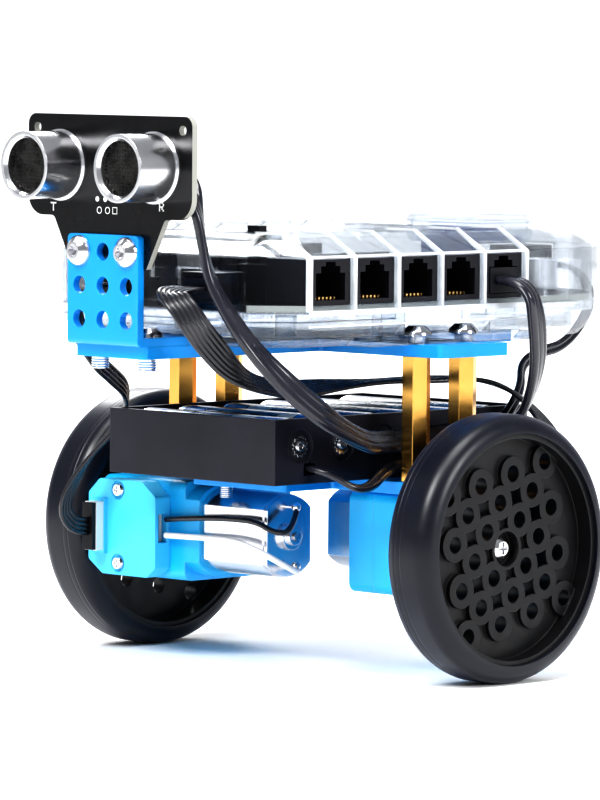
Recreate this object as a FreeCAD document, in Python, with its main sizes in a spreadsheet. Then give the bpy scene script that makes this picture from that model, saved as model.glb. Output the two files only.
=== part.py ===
"""Two wheel robot car: blue hole-grid plates, two geared motors with big wheels, a battery tray,
a clear cased control board and a two-eyed distance sensor.

Frame: X across (the wheel axle), -Y is the front, Z up, the floor at Z = 0, the origin under the
middle of the axle. Lengths are millimetres.
"""
import FreeCAD, Part
import Sketcher
import math
import os
import re

V = FreeCAD.Vector
doc = FreeCAD.newDocument("TwoWheelCar")
sheet = doc.addObject("Spreadsheet::Sheet", "Sizes")

SIZES = {
    "grid": 8, "grid_hole": 2.1, "plate_thick": 3, "axle_height": 32,
    "lower_plate_bottom": 44, "standoff_length": 30, "standoff_flats": 6, "standoff_x": 40,
    "arm_half_wide": 12, "upper_arm_x": 51.5, "lower_arm_x": 49, "tongue_front": 70.5,
    "deck_half_x": 16, "deck_half_y": 28,
    "bracket_front": 73, "bracket_thick": 2, "bracket_top": 106, "bracket_hole_first": 86,
    "screw_head_r": 3.75, "screw_head_tall": 2.2, "screw_r": 2,
    "board_thick": 1.6, "sensor_top": 134, "sensor_step": 110, "sensor_foot": 98,
    "sensor_half_x": 28, "eye_x": 16, "eye_z": 122, "eye_r": 8, "eye_long": 12.5,
    "tray_half_x": 28.3, "tray_half_y": 43.7, "tray_tall": 15.6, "tray_wall": 1.6,
    "rivet_up": 9, "cell_r": 6.9, "cell_pitch": 14.05, "cell_half_long": 24.4,
    "tyre_r": 32, "tyre_inner": 27.6, "wheel_in": 52, "wheel_out": 66.5,
    "rim_opening": 26.4, "lattice_face": 62.5, "web_face": 61.2, "web_back": 58.6,
    "shaft_r": 3, "running_gap": 0.05,
    "motor_y": 15.7, "motor_r": 10.2, "motor_flat": 7.7, "motor_back": -4, "motor_front": 22,
    "box_low": 19.5, "box_high": 44, "box_front": 24.3, "box_back": -12, "box_split": 30,
    "box_outer": 51, "box_inner": 22, "box_round": 2.4, "room_low": 21, "room_high": 42.4,
    "case_half_x": 42, "case_front": 57.3, "case_corner": 11.3, "case_rear": 72.6,
    "case_round": 30, "case_bottom": 80, "case_joint": 88.4, "case_shoulder": 101.4,
    "case_top": 106.5, "case_wall": 1.6, "case_slope": 9, "case_tuck": 5, "tuck_top": 85,
    "port_pitch": 14.8, "port_first": -38.7, "port_low": 90, "port_high": 101,
    "board_top": 90, "nose_socket_x": 15, "jack_x": 6, "usb_x": -10,
    "reset_x": -20, "switch_x": 20, "control_y": -40, "ring_y": -14,
    "socket_near": -6, "socket_far": 5, "socket_low": 115, "socket_tall": 12, "socket_deep": 9,
    "plug_end": 9,
}
for row, (name, value) in enumerate(SIZES.items(), start=1):
    sheet.set("A%d" % row, name)
    sheet.set("B%d" % row, str(value))
    sheet.setAlias("B%d" % row, name)
doc.recompute()

ALIAS = re.compile(r"\b(" + "|".join(sorted(SIZES, key=len, reverse=True)) + r")\b")
AXES = {"X": V(0, 1, 0), "Y": V(-1, 0, 0), "Z": V(0, 0, 1)}
kept = []
pools = {}


def size(name):
    """A driving dimension, read from the sheet."""
    return float(sheet.get(name))


def bound(text):
    """An expression on the sheet's names, in the form that setExpression takes."""
    return ALIAS.sub(r"Sizes.\1", str(text))


def bind(thing, **values):
    for prop, text in values.items():
        thing.setExpression(prop, bound(text))
    return thing


def place(thing, x, y, z):
    for axis, text in (("x", x), ("y", y), ("z", z)):
        thing.setExpression("Placement.Base." + axis, bound(text))
    return thing


def keep(thing, label):
    """Name a finished sub-part; the label names its file."""
    thing.Label = label
    kept.append(thing)
    return thing


def pool(thing, label):
    """Put a piece with the others that share its node."""
    pools.setdefault(label, []).append(thing)


def box(x, y, z):
    """A block between two expressions on each axis."""
    block = doc.addObject("Part::Box", "Block")
    bind(block, Length="(%s) - (%s)" % (x[1], x[0]), Width="(%s) - (%s)" % (y[1], y[0]),
         Height="(%s) - (%s)" % (z[1], z[0]))
    return place(block, x[0], y[0], z[0])


def rod(axis, x, y, z, radius, length):
    """A cylinder that starts at a point and runs along +axis."""
    bar = doc.addObject("Part::Cylinder", "Rod")
    bar.Placement = FreeCAD.Placement(V(0, 0, 0), turn_to(axis))
    bind(bar, Radius=radius, Height=length)
    return place(bar, x, y, z)


def cone(axis, x, y, z, first, second, length):
    taper = doc.addObject("Part::Cone", "Taper")
    taper.Placement = FreeCAD.Placement(V(0, 0, 0), turn_to(axis))
    bind(taper, Radius1=first, Radius2=second, Height=length)
    return place(taper, x, y, z)


def hexagon(axis, x, y, z, flats, length):
    prism = doc.addObject("Part::Prism", "Hexagon")
    prism.Polygon = 6
    prism.Placement = FreeCAD.Placement(V(0, 0, 0), turn_to(axis))
    bind(prism, Circumradius="(%s) / sqrt(3)" % flats, Height=length)
    return place(prism, x, y, z)


def turn_to(axis):
    """The rotation that takes Z to the named axis."""
    turns = {"X": (V(0, 1, 0), 90), "Y": (V(1, 0, 0), -90), "Z": (V(0, 0, 1), 0),
             "-X": (V(0, 1, 0), -90), "-Y": (V(1, 0, 0), 90), "-Z": (V(1, 0, 0), 180)}
    return FreeCAD.Rotation(*turns[axis])


def join(parts):
    if len(parts) == 1:
        return parts[0]
    whole = doc.addObject("Part::MultiFuse", "Join")
    whole.Shapes = parts
    whole.Refine = True
    return whole


def group(parts):
    """Separate pieces that share one node."""
    many = doc.addObject("Part::Compound", "Group")
    many.Links = parts
    return many


def cut(base, tools):
    rest = doc.addObject("Part::Cut", "Cut")
    rest.Base = base
    rest.Tool = join(tools)
    return rest


def shared(first, second):
    both = doc.addObject("Part::Common", "Shared")
    both.Base = first
    both.Tool = second
    return both


def solid(shape):
    """A sub-part whose outline the primitives can't give."""
    piece = doc.addObject("Part::Feature", "Piece")
    piece.Shape = shape
    return piece


def turned(thing, side):
    """The second drive unit is the first one turned half a turn about Z."""
    if thing.ExpressionEngine:
        thing = group([thing])
    if side < 0:
        thing.Placement = FreeCAD.Placement(V(0, 0, 0), FreeCAD.Rotation(V(0, 0, 1), 180))
    return thing


def rounded(points, radius):
    """A closed wire through corners, each rounded by the same radius or its own."""
    edges = []
    count = len(points)
    radii = radius if isinstance(radius, (list, tuple)) else [radius] * count
    ends = []
    for i in range(count):
        here = V(*points[i])
        before = V(*points[i - 1]) - here
        after = V(*points[(i + 1) % count]) - here
        before.normalize()
        after.normalize()
        half = before.getAngle(after) / 2
        reach = radii[i] / math.tan(half) if radii[i] else 0
        first = here + before * reach
        last = here + after * reach
        ends.append((first, last))
        if radii[i]:
            inward = before + after
            inward.normalize()
            middle = here + inward * (radii[i] / math.sin(half) - radii[i])
            edges.append(Part.Arc(first, middle, last).toShape())
        else:
            edges.append(None)
    wire = []
    for i in range(count):
        if edges[i] is not None:
            wire.append(edges[i])
        start = ends[i][1]
        stop = ends[(i + 1) % count][0]
        if (stop - start).Length > 1e-6:
            wire.append(Part.makeLine(start, stop))
    return Part.Wire(wire)


def slab(points, radius, direction):
    """A flat piece: a rounded outline pushed along a direction."""
    return Part.Face(rounded(points, radius)).extrude(V(*direction))


def plate(label, outline, holes, low):
    """A grid plate as a body: a padded outline with its holes pocketed."""
    body = doc.addObject("PartDesign::Body", label)
    flat = next(f for f in body.Origin.OriginFeatures if f.Role == "XY_Plane")
    shape = body.newObject("Sketcher::SketchObject", "Outline")
    shape.AttachmentSupport = [(flat, "")]
    shape.MapMode = "FlatFace"
    for i, (x, y) in enumerate(outline):
        nx, ny = outline[(i + 1) % len(outline)]
        shape.addGeometry(Part.LineSegment(V(x, y, 0), V(nx, ny, 0)))
    pad = body.newObject("PartDesign::Pad", "Thickness")
    pad.Profile = shape
    bind(pad, Length="plate_thick")
    doc.recompute()
    drill = body.newObject("Sketcher::SketchObject", "Holes")
    drill.AttachmentSupport = [(flat, "")]
    drill.MapMode = "FlatFace"
    for x, y in holes:
        index = drill.addGeometry(Part.Circle(V(x, y, 0), V(0, 0, 1), size("grid_hole")))
        ring = drill.addConstraint(sketch_radius(index))
        drill.setExpression("Constraints[%d]" % ring, bound("grid_hole"))
    pocket = body.newObject("PartDesign::Pocket", "Drilled")
    pocket.Profile = drill
    pocket.Type = "ThroughAll"
    pocket.Midplane = True
    doc.recompute()
    soft = body.newObject("PartDesign::Fillet", "Corners")
    soft.Base = (pocket, matching(pocket.Shape, pad.Shape, vertical_edges(pad.Shape)))
    soft.Radius = 1.2
    place(body, "0", "0", low)
    return keep(body, label)


def sketch_radius(index):
    """A radius constraint on a sketch's circle."""
    return Sketcher.Constraint("Radius", index, size("grid_hole"))


def vertical_edges(shape):
    found = []
    for i, edge in enumerate(shape.Edges):
        straight = edge.Curve.TypeId == "Part::GeomLine"
        if straight and abs(edge.tangentAt(edge.FirstParameter).z) > 0.99:
            found.append(i)
    return found


def matching(shape, old, indices):
    """Names of the straight upright edges that the pocketed shape kept from the pad."""
    spots = [old.Edges[i].CenterOfMass for i in indices]
    names = []
    for i, edge in enumerate(shape.Edges):
        if any((edge.CenterOfMass - spot).Length < 1e-4 for spot in spots):
            names.append("Edge%d" % (i + 1))
    return names


# ---------------------------------------------------------------- frame plates

def upper_plate():
    arm = size("upper_arm_x")
    half = size("arm_half_wide")
    front = -size("tongue_front")
    outline = [(-arm, -half), (-half, -half), (-half, front), (half, front), (half, -half),
               (arm, -half), (arm, half), (half, half), (half, 56), (-half, 56), (-half, half),
               (-arm, half)]
    pitch = size("grid")
    holes = [(i * pitch, j * pitch) for i in range(-6, 7) for j in (-1, 0, 1)]
    for j in (-66, -58, -50, -42, -34, -26, -18):
        holes += [(i * pitch, j) for i in (-1, 0, 1)]
    for j in (18, 26, 34, 42, 50):
        holes += [(i * pitch, j) for i in (-1, 0, 1)]
    return plate("upper_plate", outline, holes, "lower_plate_bottom + plate_thick + standoff_length")


def lower_plate():
    arm = size("lower_arm_x")
    half = size("arm_half_wide")
    wide = size("deck_half_x")
    deep = size("deck_half_y")
    outline = [(-arm, -half), (-wide, -half), (-wide, -deep), (wide, -deep), (wide, -half),
               (arm, -half), (arm, half), (wide, half), (wide, deep), (-wide, deep),
               (-wide, half), (-arm, half)]
    pitch = size("grid")
    holes = [(i * pitch, j * pitch) for i in (-5, 5) for j in (-1, 1)]
    holes += [(i * pitch, 0) for i in (-6, -4, 4, 6)]
    holes += [(i * pitch, j * pitch) for i in (-1, 1) for j in (-3, 3)]
    holes += [(i * pitch, 0) for i in (-1, 0, 1)]
    return plate("lower_plate", outline, holes, "lower_plate_bottom")


def sensor_bracket():
    """An angle with a 3 by 3 hole grid on its leg and on its foot."""
    leg = box(("-arm_half_wide", "arm_half_wide"), ("-bracket_front", "-bracket_front + bracket_thick"),
              ("case_bottom", "bracket_top"))
    foot = box(("-arm_half_wide", "arm_half_wide"), ("-bracket_front", "-bracket_front + 24"),
               ("case_bottom", "case_bottom + bracket_thick"))
    angle = join([leg, foot])
    tools = []
    for i in (-1, 0, 1):
        for j in range(3):
            tools.append(rod("Y", "grid * %d" % i, "-bracket_front - 1",
                             "bracket_hole_first + grid * %d" % j, "grid_hole", "bracket_thick + 2"))
            tools.append(rod("Z", "grid * %d" % i, "-66 + grid * %d" % j, "case_bottom - 1",
                             "grid_hole", "bracket_thick + 2"))
    holed = cut(angle, tools)
    doc.recompute()
    soft = doc.addObject("Part::Fillet", "Soft")
    soft.Base = holed
    edges = []
    for i, edge in enumerate(holed.Shape.Edges):
        if edge.Curve.TypeId != "Part::GeomLine":
            continue
        middle = edge.CenterOfMass
        outer = abs(abs(middle.x) - size("arm_half_wide")) < 0.01
        on_top = abs(middle.z - size("bracket_top")) < 0.01 and abs(edge.Length - 2) < 0.01
        at_back = abs(middle.y + size("bracket_front") - 24) < 0.01 and abs(edge.Length - 2) < 0.01
        bend = abs(middle.x) < 0.01 and abs(middle.z - size("case_bottom")) < 0.01 and middle.y < -72.9
        if (outer and (on_top or at_back)) or bend:
            edges.append((i + 1, 1.2, 1.2))
    soft.Edges = edges
    return keep(soft, "sensor_bracket")


# ---------------------------------------------------------------- screws and standoffs

TRAY_SCREWS = [(-1, -3), (1, 3)]


def button_screw(axis, x, y, z, length):
    """A button head screw: its shank runs along +axis from the seat at x, y, z."""
    back = {"Z": "-Z", "-Z": "Z", "Y": "-Y", "-Y": "Y", "X": "-X", "-X": "X"}[axis]
    shank = rod(axis, x, y, z, "screw_r", length)
    low = cone(back, x, y, z, "screw_head_r", "screw_head_r * 0.93", "screw_head_tall * 0.4")
    step = shifted(back, (x, y, z), "screw_head_tall * 0.4")
    high = cone(back, *step, "screw_head_r * 0.93", "screw_head_r * 0.55", "screw_head_tall * 0.6")
    top = shifted(back, (x, y, z), "screw_head_tall")
    socket = hexagon(axis, *top, "2.5", "screw_head_tall * 0.7")
    return cut(join([shank, low, high]), [socket])


def shifted(axis, point, distance):
    """A point moved along an axis, as expressions."""
    sign = "-" if axis.startswith("-") else "+"
    letter = axis[-1]
    return ["%s %s (%s)" % (text, sign, distance) if name == letter else text
            for name, text in zip("XYZ", point)]


def standoffs():
    pieces = []
    for i in (-1, 1):
        for j in (-1, 1):
            x = "standoff_x * %d" % i
            y = "grid * %d" % j
            base = "lower_plate_bottom + plate_thick"
            body = hexagon("Z", x, y, base, "standoff_flats", "standoff_length")
            stud = rod("Z", x, y, "lower_plate_bottom + 0.4", "screw_r", "plate_thick - 0.4")
            bore = rod("Z", x, y, base + " + standoff_length - 10", "screw_r", "10")
            pieces.append(cut(join([body, stud]), [bore]))
    return keep(group(pieces), "standoffs")


def case_screws():
    """Four screws hold the case floor and the upper plate down on the standoffs."""
    pieces = [button_screw("-Z", "standoff_x * %d" % i, "grid * %d" % j, "case_bottom + 2", "12")
              for i in (-1, 1) for j in (-1, 1)]
    pool(group(pieces), "button_screws")


def bracket_screws():
    pieces = [button_screw("-Z", "grid * %d" % i, "-66", "case_bottom + bracket_thick", "8")
              for i in (-1, 1)]
    pool(group(pieces), "button_screws")


def sensor_screws():
    pieces = [button_screw("Y", "grid * %d" % i, "-bracket_front", "bracket_hole_first + grid * 2", "8")
              for i in (-1, 1)]
    pool(group(pieces), "button_screws")


def sensor_nuts():
    pieces = []
    for i in (-1, 1):
        where = ("grid * %d" % i, "-bracket_front + bracket_thick + board_thick",
                 "bracket_hole_first + grid * 2")
        nut = hexagon("Y", *where, "7", "3.2")
        pieces.append(cut(nut, [rod("Y", *where, "screw_r", "3.2")]))
    return keep(group(pieces), "sensor_nuts")


def tray_screws():
    """Two small screws, at opposite corners, hold the battery tray's floor to the lower plate."""
    pieces = []
    for i, j in TRAY_SCREWS:
        where = ("grid * %d" % i, "grid * %d" % j, "lower_plate_bottom + plate_thick + tray_wall")
        shank = rod("-Z", *where, "1.5", "7.6")
        head = cone("-Z", *where, "2.7", "1.5", "1.2")
        pieces.append(join([shank, head]))
    pool(group(pieces), "small_screws")


def drive_screws():
    """Pan head screws that hang each gearbox under the lower plate."""
    pieces = []
    for i in (-6, -4, 4, 6):
        where = ("grid * %d" % i, "0", "lower_plate_bottom + plate_thick")
        shank = rod("-Z", *where, "1.5", "plate_thick + 1.5")
        head = cone("Z", *where, "2.7", "2.1", "1.7")
        cross = box(("grid * %d - 1.3" % i, "grid * %d + 1.3" % i), ("-0.3", "0.3"),
                    ("lower_plate_bottom + plate_thick + 1", "lower_plate_bottom + plate_thick + 2"))
        pieces.append(cut(join([shank, head]), [cross]))
    pool(group(pieces), "small_screws")


# ---------------------------------------------------------------- battery tray

def battery_tray():
    """An open tray for six cells, with a socket for a rivet at both ends of each cell."""
    low = "lower_plate_bottom + plate_thick"
    floor = low + " + tray_wall"
    outer = box(("-tray_half_x", "tray_half_x"), ("-tray_half_y", "tray_half_y"), (low, low + " + tray_tall"))
    room = box(("-tray_half_x + tray_wall", "tray_half_x - tray_wall"),
               ("-tray_half_y + tray_wall", "tray_half_y - tray_wall"), (floor, low + " + tray_tall + 1"))
    tools = [room]
    for seat, back in (("tray_half_x - 0.6", "tray_half_x - 2"), ("-tray_half_x - 0.1", "-tray_half_x - 2")):
        for row in range(6):
            y = "cell_pitch * %s" % (row - 2.5)
            z = low + " + rivet_up"
            tools.append(rod("X", seat, y, z, "4.1", "0.7"))
            tools.append(rod("X", back, y, z, "1.1", "4"))
    for i, j in TRAY_SCREWS:
        x = "grid * %d" % i
        y = "grid * %d" % j
        tools.append(rod("Z", x, y, low + " - 1", "1.5", "4"))
        tools.append(cone("-Z", x, y, floor, "2.7", "1.5", "1.2"))
    tools.append(box(("tray_half_x - 3", "tray_half_x + 1"), ("-grid * 4 - 2", "-grid * 4 + 2"),
                     (low + " + 2", low + " + 5")))
    shell = cut(outer, tools)
    ribs = []
    for row in range(5):
        y = "cell_pitch * %s" % (row - 2)
        ribs.append(box(("-6", "6"), (y + " - 0.25", y + " + 0.25"), (floor + " - 0.1", low + " + 5")))
    return keep(join([shell] + ribs), "battery_tray")


def cells():
    """Six cells side by side, each with its small raised end."""
    pieces = []
    for row in range(6):
        way = 1 if row % 2 else -1
        y = "cell_pitch * %s" % (row - 2.5)
        z = "lower_plate_bottom + plate_thick + tray_wall + cell_r + 0.1"
        can = rod("X", "-cell_half_long", y, z, "cell_r", "cell_half_long * 2 - 1.2")
        nub = rod("X", "cell_half_long - 1.2", y, z, "2.7", "1.2")
        cell = join([can, nub])
        if way < 0:
            cell.Placement = FreeCAD.Placement(V(0, 2 * size("cell_pitch") * (row - 2.5), 0),
                                               FreeCAD.Rotation(V(0, 0, 1), 180))
        pieces.append(cell)
    return keep(group(pieces), "cells")


def contact_rivets():
    """Toothed washers and hollow rivets that hold the cell contacts to the tray's ends."""
    teeth = 12
    outer = 2.7
    inner = 2.15
    contact = 4.5
    pieces = []
    for side in (-1, 1):
        for row in range(6):
            y = size("cell_pitch") * (row - 2.5)
            z = size("lower_plate_bottom") + size("plate_thick") + size("rivet_up")
            seat = size("tray_half_x") - 0.6
            points = []
            for k in range(2 * teeth):
                reach = outer if k % 2 else inner
                angle = math.pi * k / teeth
                points.append(V(seat, y + reach * math.cos(angle), z + reach * math.sin(angle)))
            star = Part.Face(Part.makePolygon(points + points[:1])).extrude(V(0.5, 0, 0))
            tube = Part.makeCylinder(1.1, 2.2, V(seat - 1.2, y, z), V(1, 0, 0))
            strip = Part.makeBox(0.4, 2 * contact, 2 * contact, V(seat - 1.6, y - contact, z - contact))
            bore = Part.makeCylinder(0.6, 4, V(seat - 1.1, y, z), V(1, 0, 0))
            rivet = star.fuse([tube, strip]).cut(bore)
            if side < 0:
                rivet = rivet.mirror(V(0, 0, 0), V(1, 0, 0))
            pieces.append(rivet)
    return keep(solid(Part.Compound(pieces)), "contact_rivets")


# ---------------------------------------------------------------- distance sensor

def sensor_board():
    """A board with a wide upper part and a tapered foot that reaches behind the bracket."""
    wide = size("sensor_half_x")
    top = size("sensor_top")
    step = size("sensor_step")
    foot = size("sensor_foot")
    back = -size("bracket_front") + size("bracket_thick")
    foot_x = 12.7
    neck_x = 19
    corner_hole = 3.2
    corners = [(-foot_x, foot), (foot_x, foot), (neck_x, step), (wide, step), (wide, top), (-wide, top),
               (-wide, step), (-neck_x, step)]
    radii = [1, 1, 1.5, 5, 2.5, 2.5, 5, 1.5]
    board = slab([(x, back, z) for x, z in corners], radii, (0, size("board_thick"), 0))
    screw_z = size("bracket_hole_first") + 2 * size("grid")
    for i in (-1, 1):
        for x, z, radius in ((size("grid"), screw_z, size("screw_r")),
                             (wide - corner_hole, top - corner_hole, 1.2)):
            board = board.cut(Part.makeCylinder(radius, 4, V(i * x, back - 1, z), V(0, 1, 0)))
    return keep(solid(board), "sensor_board")


def sensor_eyes():
    """Two open metal cans with a rear flange."""
    for side in (1, -1):
        where = ("eye_x * %d" % side, "-bracket_front + bracket_thick", "eye_z")
        flange = rod("-Y", *where, "eye_r + 0.5", "1")
        can = rod("-Y", *where, "eye_r", "eye_long")
        front = "-bracket_front + bracket_thick - eye_long + 3"
        bore = rod("-Y", where[0], front, where[2], "eye_r - 1.6", "4")
        lip = cone("-Y", where[0], front + " - 2.2", where[2], "eye_r - 1.6", "eye_r - 0.9", "0.81")
        pool(cut(join([flange, can]), [bore, lip]), "sensor_eyes")


def sensor_meshes():
    for side in (1, -1):
        disc = rod("-Y", "eye_x * %d" % side, "-bracket_front + bracket_thick - eye_long + 3", "eye_z",
                   "eye_r - 1.6", "0.8")
        pool(disc, "eye_meshes")


def sensor_socket():
    """The cable socket behind the board, open at its side, and small parts beside it."""
    back = "-bracket_front + bracket_thick + board_thick"
    top = "socket_low + socket_tall"
    shell = box(("socket_near", "socket_far"), (back, back + " + socket_deep"), ("socket_low", top))
    mouth = box(("socket_near + 1.5", "socket_far + 1"), (back + " + 1.2", back + " + socket_deep - 1.2"),
                ("socket_low + 1.2", top + " - 1.2"))
    keep(cut(shell, [mouth]), "sensor_socket")
    chips = [box(("-20", "-11"), (back, back + " + 1.8"), ("socket_low + 3", "socket_low + 12")),
             box(("-3", "3"), (back, back + " + 1.6"), ("socket_low - 9", "socket_low - 5"))]
    pool(group(chips), "board_chips")


def sensor_plug():
    """The plug that stands out of the sensor's socket."""
    back = "-bracket_front + bracket_thick + board_thick"
    body = box(("socket_near + 3", "plug_end"), (back + " + 1.4", back + " + socket_deep - 1.4"),
               ("socket_low + 1.6", "socket_low + socket_tall - 1.6"))
    pool(body, "sensor_cable_plugs")


# ---------------------------------------------------------------- wheels

def tyre(side):
    """A smooth tyre with round shoulders, over the rim's barrel."""
    near = size("wheel_in")
    width = size("wheel_out") - near
    whole = Part.makeCylinder(size("tyre_r"), width, V(near, 0, size("axle_height")), V(1, 0, 0))
    shoulders = [edge for edge in whole.Edges if edge.Curve.TypeId == "Part::GeomCircle"]
    ring = whole.makeFillet(4.2, shoulders)
    ring = ring.cut(Part.makeCylinder(size("tyre_inner"), 40, V(40, 0, size("axle_height")), V(1, 0, 0)))
    if side < 0:
        ring = ring.mirror(V(0, 0, 0), V(1, 0, 0))
    return ring


def lattice(start, depth):
    """Rings on the hole grid, joined corner to corner, that stand proud of the wheel's web."""
    pitch = size("grid")
    tilt = math.radians(12.2) - math.pi / 4
    nodes = [(m, n) for m in range(-3, 4) for n in range(-3, 4) if 0 < m * m + n * n <= 5]
    nodes += [(3, 0), (-3, 0), (0, 3), (0, -3)]
    rings = []
    holes = []
    for m, n in nodes:
        y = pitch * (m * math.cos(tilt) - n * math.sin(tilt))
        z = pitch * (m * math.sin(tilt) + n * math.cos(tilt))
        rings.append(Part.makeCylinder(4.15, depth, V(start, y, z), V(1, 0, 0)))
        holes.append(Part.makeCylinder(2, depth + 20, V(start - 10, y, z), V(1, 0, 0)))
    return rings, holes


def rim(side):
    """A barrel with a pierced web, raised rings on the hole grid and a hub with a keyed bore."""
    web = size("web_face")
    back = size("web_back")
    face = size("lattice_face")
    barrel_r = size("tyre_inner")
    opening = size("rim_opening")
    near = size("wheel_in")
    far = size("wheel_out")
    barrel = Part.makeCylinder(barrel_r, far - near - 1.6, V(near + 0.6, 0, 0), V(1, 0, 0))
    barrel = barrel.cut(Part.makeCylinder(opening, far - near, V(near, 0, 0), V(1, 0, 0)))
    disc = Part.makeCylinder(opening + 0.2, web - back, V(back, 0, 0), V(1, 0, 0))
    rings, holes = lattice(back, face - back)
    reach = Part.makeCylinder(opening + 0.1, face - back, V(back, 0, 0), V(1, 0, 0))
    raised = rings[0].fuse(rings[1:]).common(reach)
    pitch = size("grid")
    tilt = math.radians(12.2) - math.pi / 4
    windows = []
    for m in (-1.5, -0.5, 0.5, 1.5):
        for n in (-1.5, -0.5, 0.5, 1.5):
            if abs(m) + abs(n) > 2.1 or abs(m) + abs(n) < 1.1:
                continue
            y = pitch * (m * math.cos(tilt) - n * math.sin(tilt))
            z = pitch * (m * math.sin(tilt) + n * math.cos(tilt))
            window = Part.makeBox(10, 3.3, 3.3, V(-5, -1.65, -1.65))
            window.rotate(V(0, 0, 0), V(1, 0, 0), math.degrees(tilt) + 45)
            window.translate(V(back, y, z))
            windows.append(window)
    wheel = barrel.fuse([disc, raised])
    wheel = wheel.cut(holes[0].fuse(holes[1:] + windows))
    hub = Part.makeCylinder(5, face - near - 0.4, V(near + 0.4, 0, 0), V(1, 0, 0))
    bore = Part.makeCylinder(size("shaft_r"), 20, V(near - 5, 0, 0), V(1, 0, 0))
    bore = bore.cut(Part.makeBox(30, 10, 10, V(40, -5, 2.5)))
    bore = bore.common(Part.makeBox(size("web_back") - 0.2 - near + 1, 20, 20, V(near - 1, -10, -10)))
    through = Part.makeCylinder(1.5, 30, V(40, 0, 0), V(1, 0, 0))
    well = Part.makeCylinder(4.2, 5, V(face - 2.9, 0, 0), V(1, 0, 0))
    wheel = wheel.fuse(hub).cut(bore.fuse([through, well]))
    if side < 0:
        wheel.rotate(V(0, 0, 0), V(0, 0, 1), 180)
    wheel.translate(V(0, 0, size("axle_height")))
    return wheel


def wheels():
    for name, side in (("left", 1), ("right", -1)):
        keep(solid(tyre(side)), "tyre_" + name)
        keep(solid(rim(side)), "rim_" + name)
        seat = "lattice_face - 2.9"
        shank = rod("X", "lattice_face - 2.9 - 6", "0", "axle_height", "1.5", "6")
        head = rod("X", seat, "0", "axle_height", "2.8", "1")
        dome = cone("X", seat + " + 1", "0", "axle_height", "2.8", "1.7", "0.8")
        slots = [box((seat + " + 0.8", seat + " + 2"), ("-1.4", "1.4"),
                     ("axle_height - 0.3", "axle_height + 0.3")),
                 box((seat + " + 0.8", seat + " + 2"), ("-0.3", "0.3"),
                     ("axle_height - 1.4", "axle_height + 1.4"))]
        screw = cut(join([shank, head, dome]), slots)
        keep(turned(screw, side), "wheel_screw_" + name)


# ---------------------------------------------------------------- gears

PRESSURE = math.radians(25)
GEARS = {
    # name: (Y, Z above the axle, first wheel's teeth and module)
    "motor": (15.7, 0.0),
    "first": (10.256, 4.238),
    "second": (10.4, -4.16),
    "output": (0.0, 0.0),
}


def involute(angle):
    return math.tan(angle) - angle


def gear(teeth, module, phase, start, width, axle):
    """A spur gear with stub teeth, one tooth centred on phase, its axis along X."""
    pitch = teeth * module / 2
    base = pitch * math.cos(PRESSURE)
    tip = pitch + 0.8 * module
    root = pitch - 1.15 * module
    half = (math.pi / 2 - 0.2) / teeth + involute(PRESSURE)
    flank = []
    for k in range(4):
        radius = max(root, base) + (tip - max(root, base)) * k / 3
        turn = half - involute(math.acos(min(1, base / radius)))
        flank.append((radius, turn))
    if root < base:
        flank.insert(0, (root, flank[0][1]))
    points = []
    for tooth in range(teeth):
        centre = phase + 2 * math.pi * tooth / teeth
        for radius, turn in flank:
            points.append((radius, centre - turn))
        for radius, turn in reversed(flank):
            points.append((radius, centre + turn))
    y, z = axle
    corners = [V(start, y + r * math.cos(a), size("axle_height") + z + r * math.sin(a)) for r, a in points]
    return Part.Face(Part.makePolygon(corners + corners[:1])).extrude(V(width, 0, 0))


def bar(start, stop, radius, axle):
    y, z = axle
    return Part.makeCylinder(radius, stop - start, V(start, y, size("axle_height") + z), V(1, 0, 0))


def meshed(first, second, phase, driver, follower):
    """The tooth phase that lets a follower mesh with a driver."""
    (y1, z1), (y2, z2) = GEARS[first], GEARS[second]
    toward = math.atan2(z2 - z1, y2 - y1)
    return toward + math.pi + math.pi / follower - (phase - toward) * driver / follower


def gear_train(name, side):
    """Motor pinion, two compound wheels on pins and the output wheel with its shaft."""
    gap = size("running_gap")
    motor, first, second, output = (GEARS[key] for key in ("motor", "first", "second", "output"))
    phase_first = meshed("motor", "first", 0.0, 10, 36)
    phase_second = meshed("first", "second", phase_first, 12, 36)
    phase_output = meshed("second", "output", phase_second, 12, 44)
    shaft = bar(size("motor_back") - 4.2, 32.9, 1, motor)
    winding = bar(0, 17, 6.4, motor)
    pinion = gear(10, 0.3, 0.0, 28.9, 4, motor)
    rotor = shaft.fuse([winding, pinion])
    one = gear(36, 0.3, phase_first, 29, 3.6, first).fuse(gear(12, 0.35, phase_first, 32.6, 6, first))
    one = one.cut(bar(20, 50, 0.8 + gap, first))
    two = gear(36, 0.35, phase_second, 34, 4.4, second).fuse(
        gear(12, 0.4, phase_second, 38.4, 7.4, second))
    two = two.cut(bar(20, 50, 0.8 + gap, second))
    last = gear(44, 0.4, phase_output, 39.6, 6.2, output)
    axle = bar(39.6, size("web_back") - 0.2, size("shaft_r"), output)
    flat = Part.makeBox(20, 8, 4, V(size("box_outer") + 0.8, -4, size("axle_height") + 2.5))
    thread = bar(size("lattice_face") - 2.9 - 6.2, 70, 1.5, output)
    last = last.fuse(axle).cut(flat.fuse(thread))
    pins = [bar(28.4, 44.8, 0.8, first), bar(28.4, 47.6, 0.8, second)]
    pieces = {"rotor_": rotor, "gear_one_": one, "gear_two_": two, "output_shaft_": last}
    for label, shape in pieces.items():
        keep(turned(solid(shape), side), label + name)
    pool(turned(solid(Part.Compound(pins)), side), "gear_pins")


# ---------------------------------------------------------------- drive unit

def softened(block):
    """A block with its four edges along X rounded."""
    doc.recompute()
    soft = doc.addObject("Part::Fillet", "Soft")
    soft.Base = block
    soft.Edges = [(i + 1, size("box_round"), size("box_round")) for i, edge in enumerate(block.Shape.Edges)
                  if abs(edge.tangentAt(edge.FirstParameter).x) > 0.99]
    return soft


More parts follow.
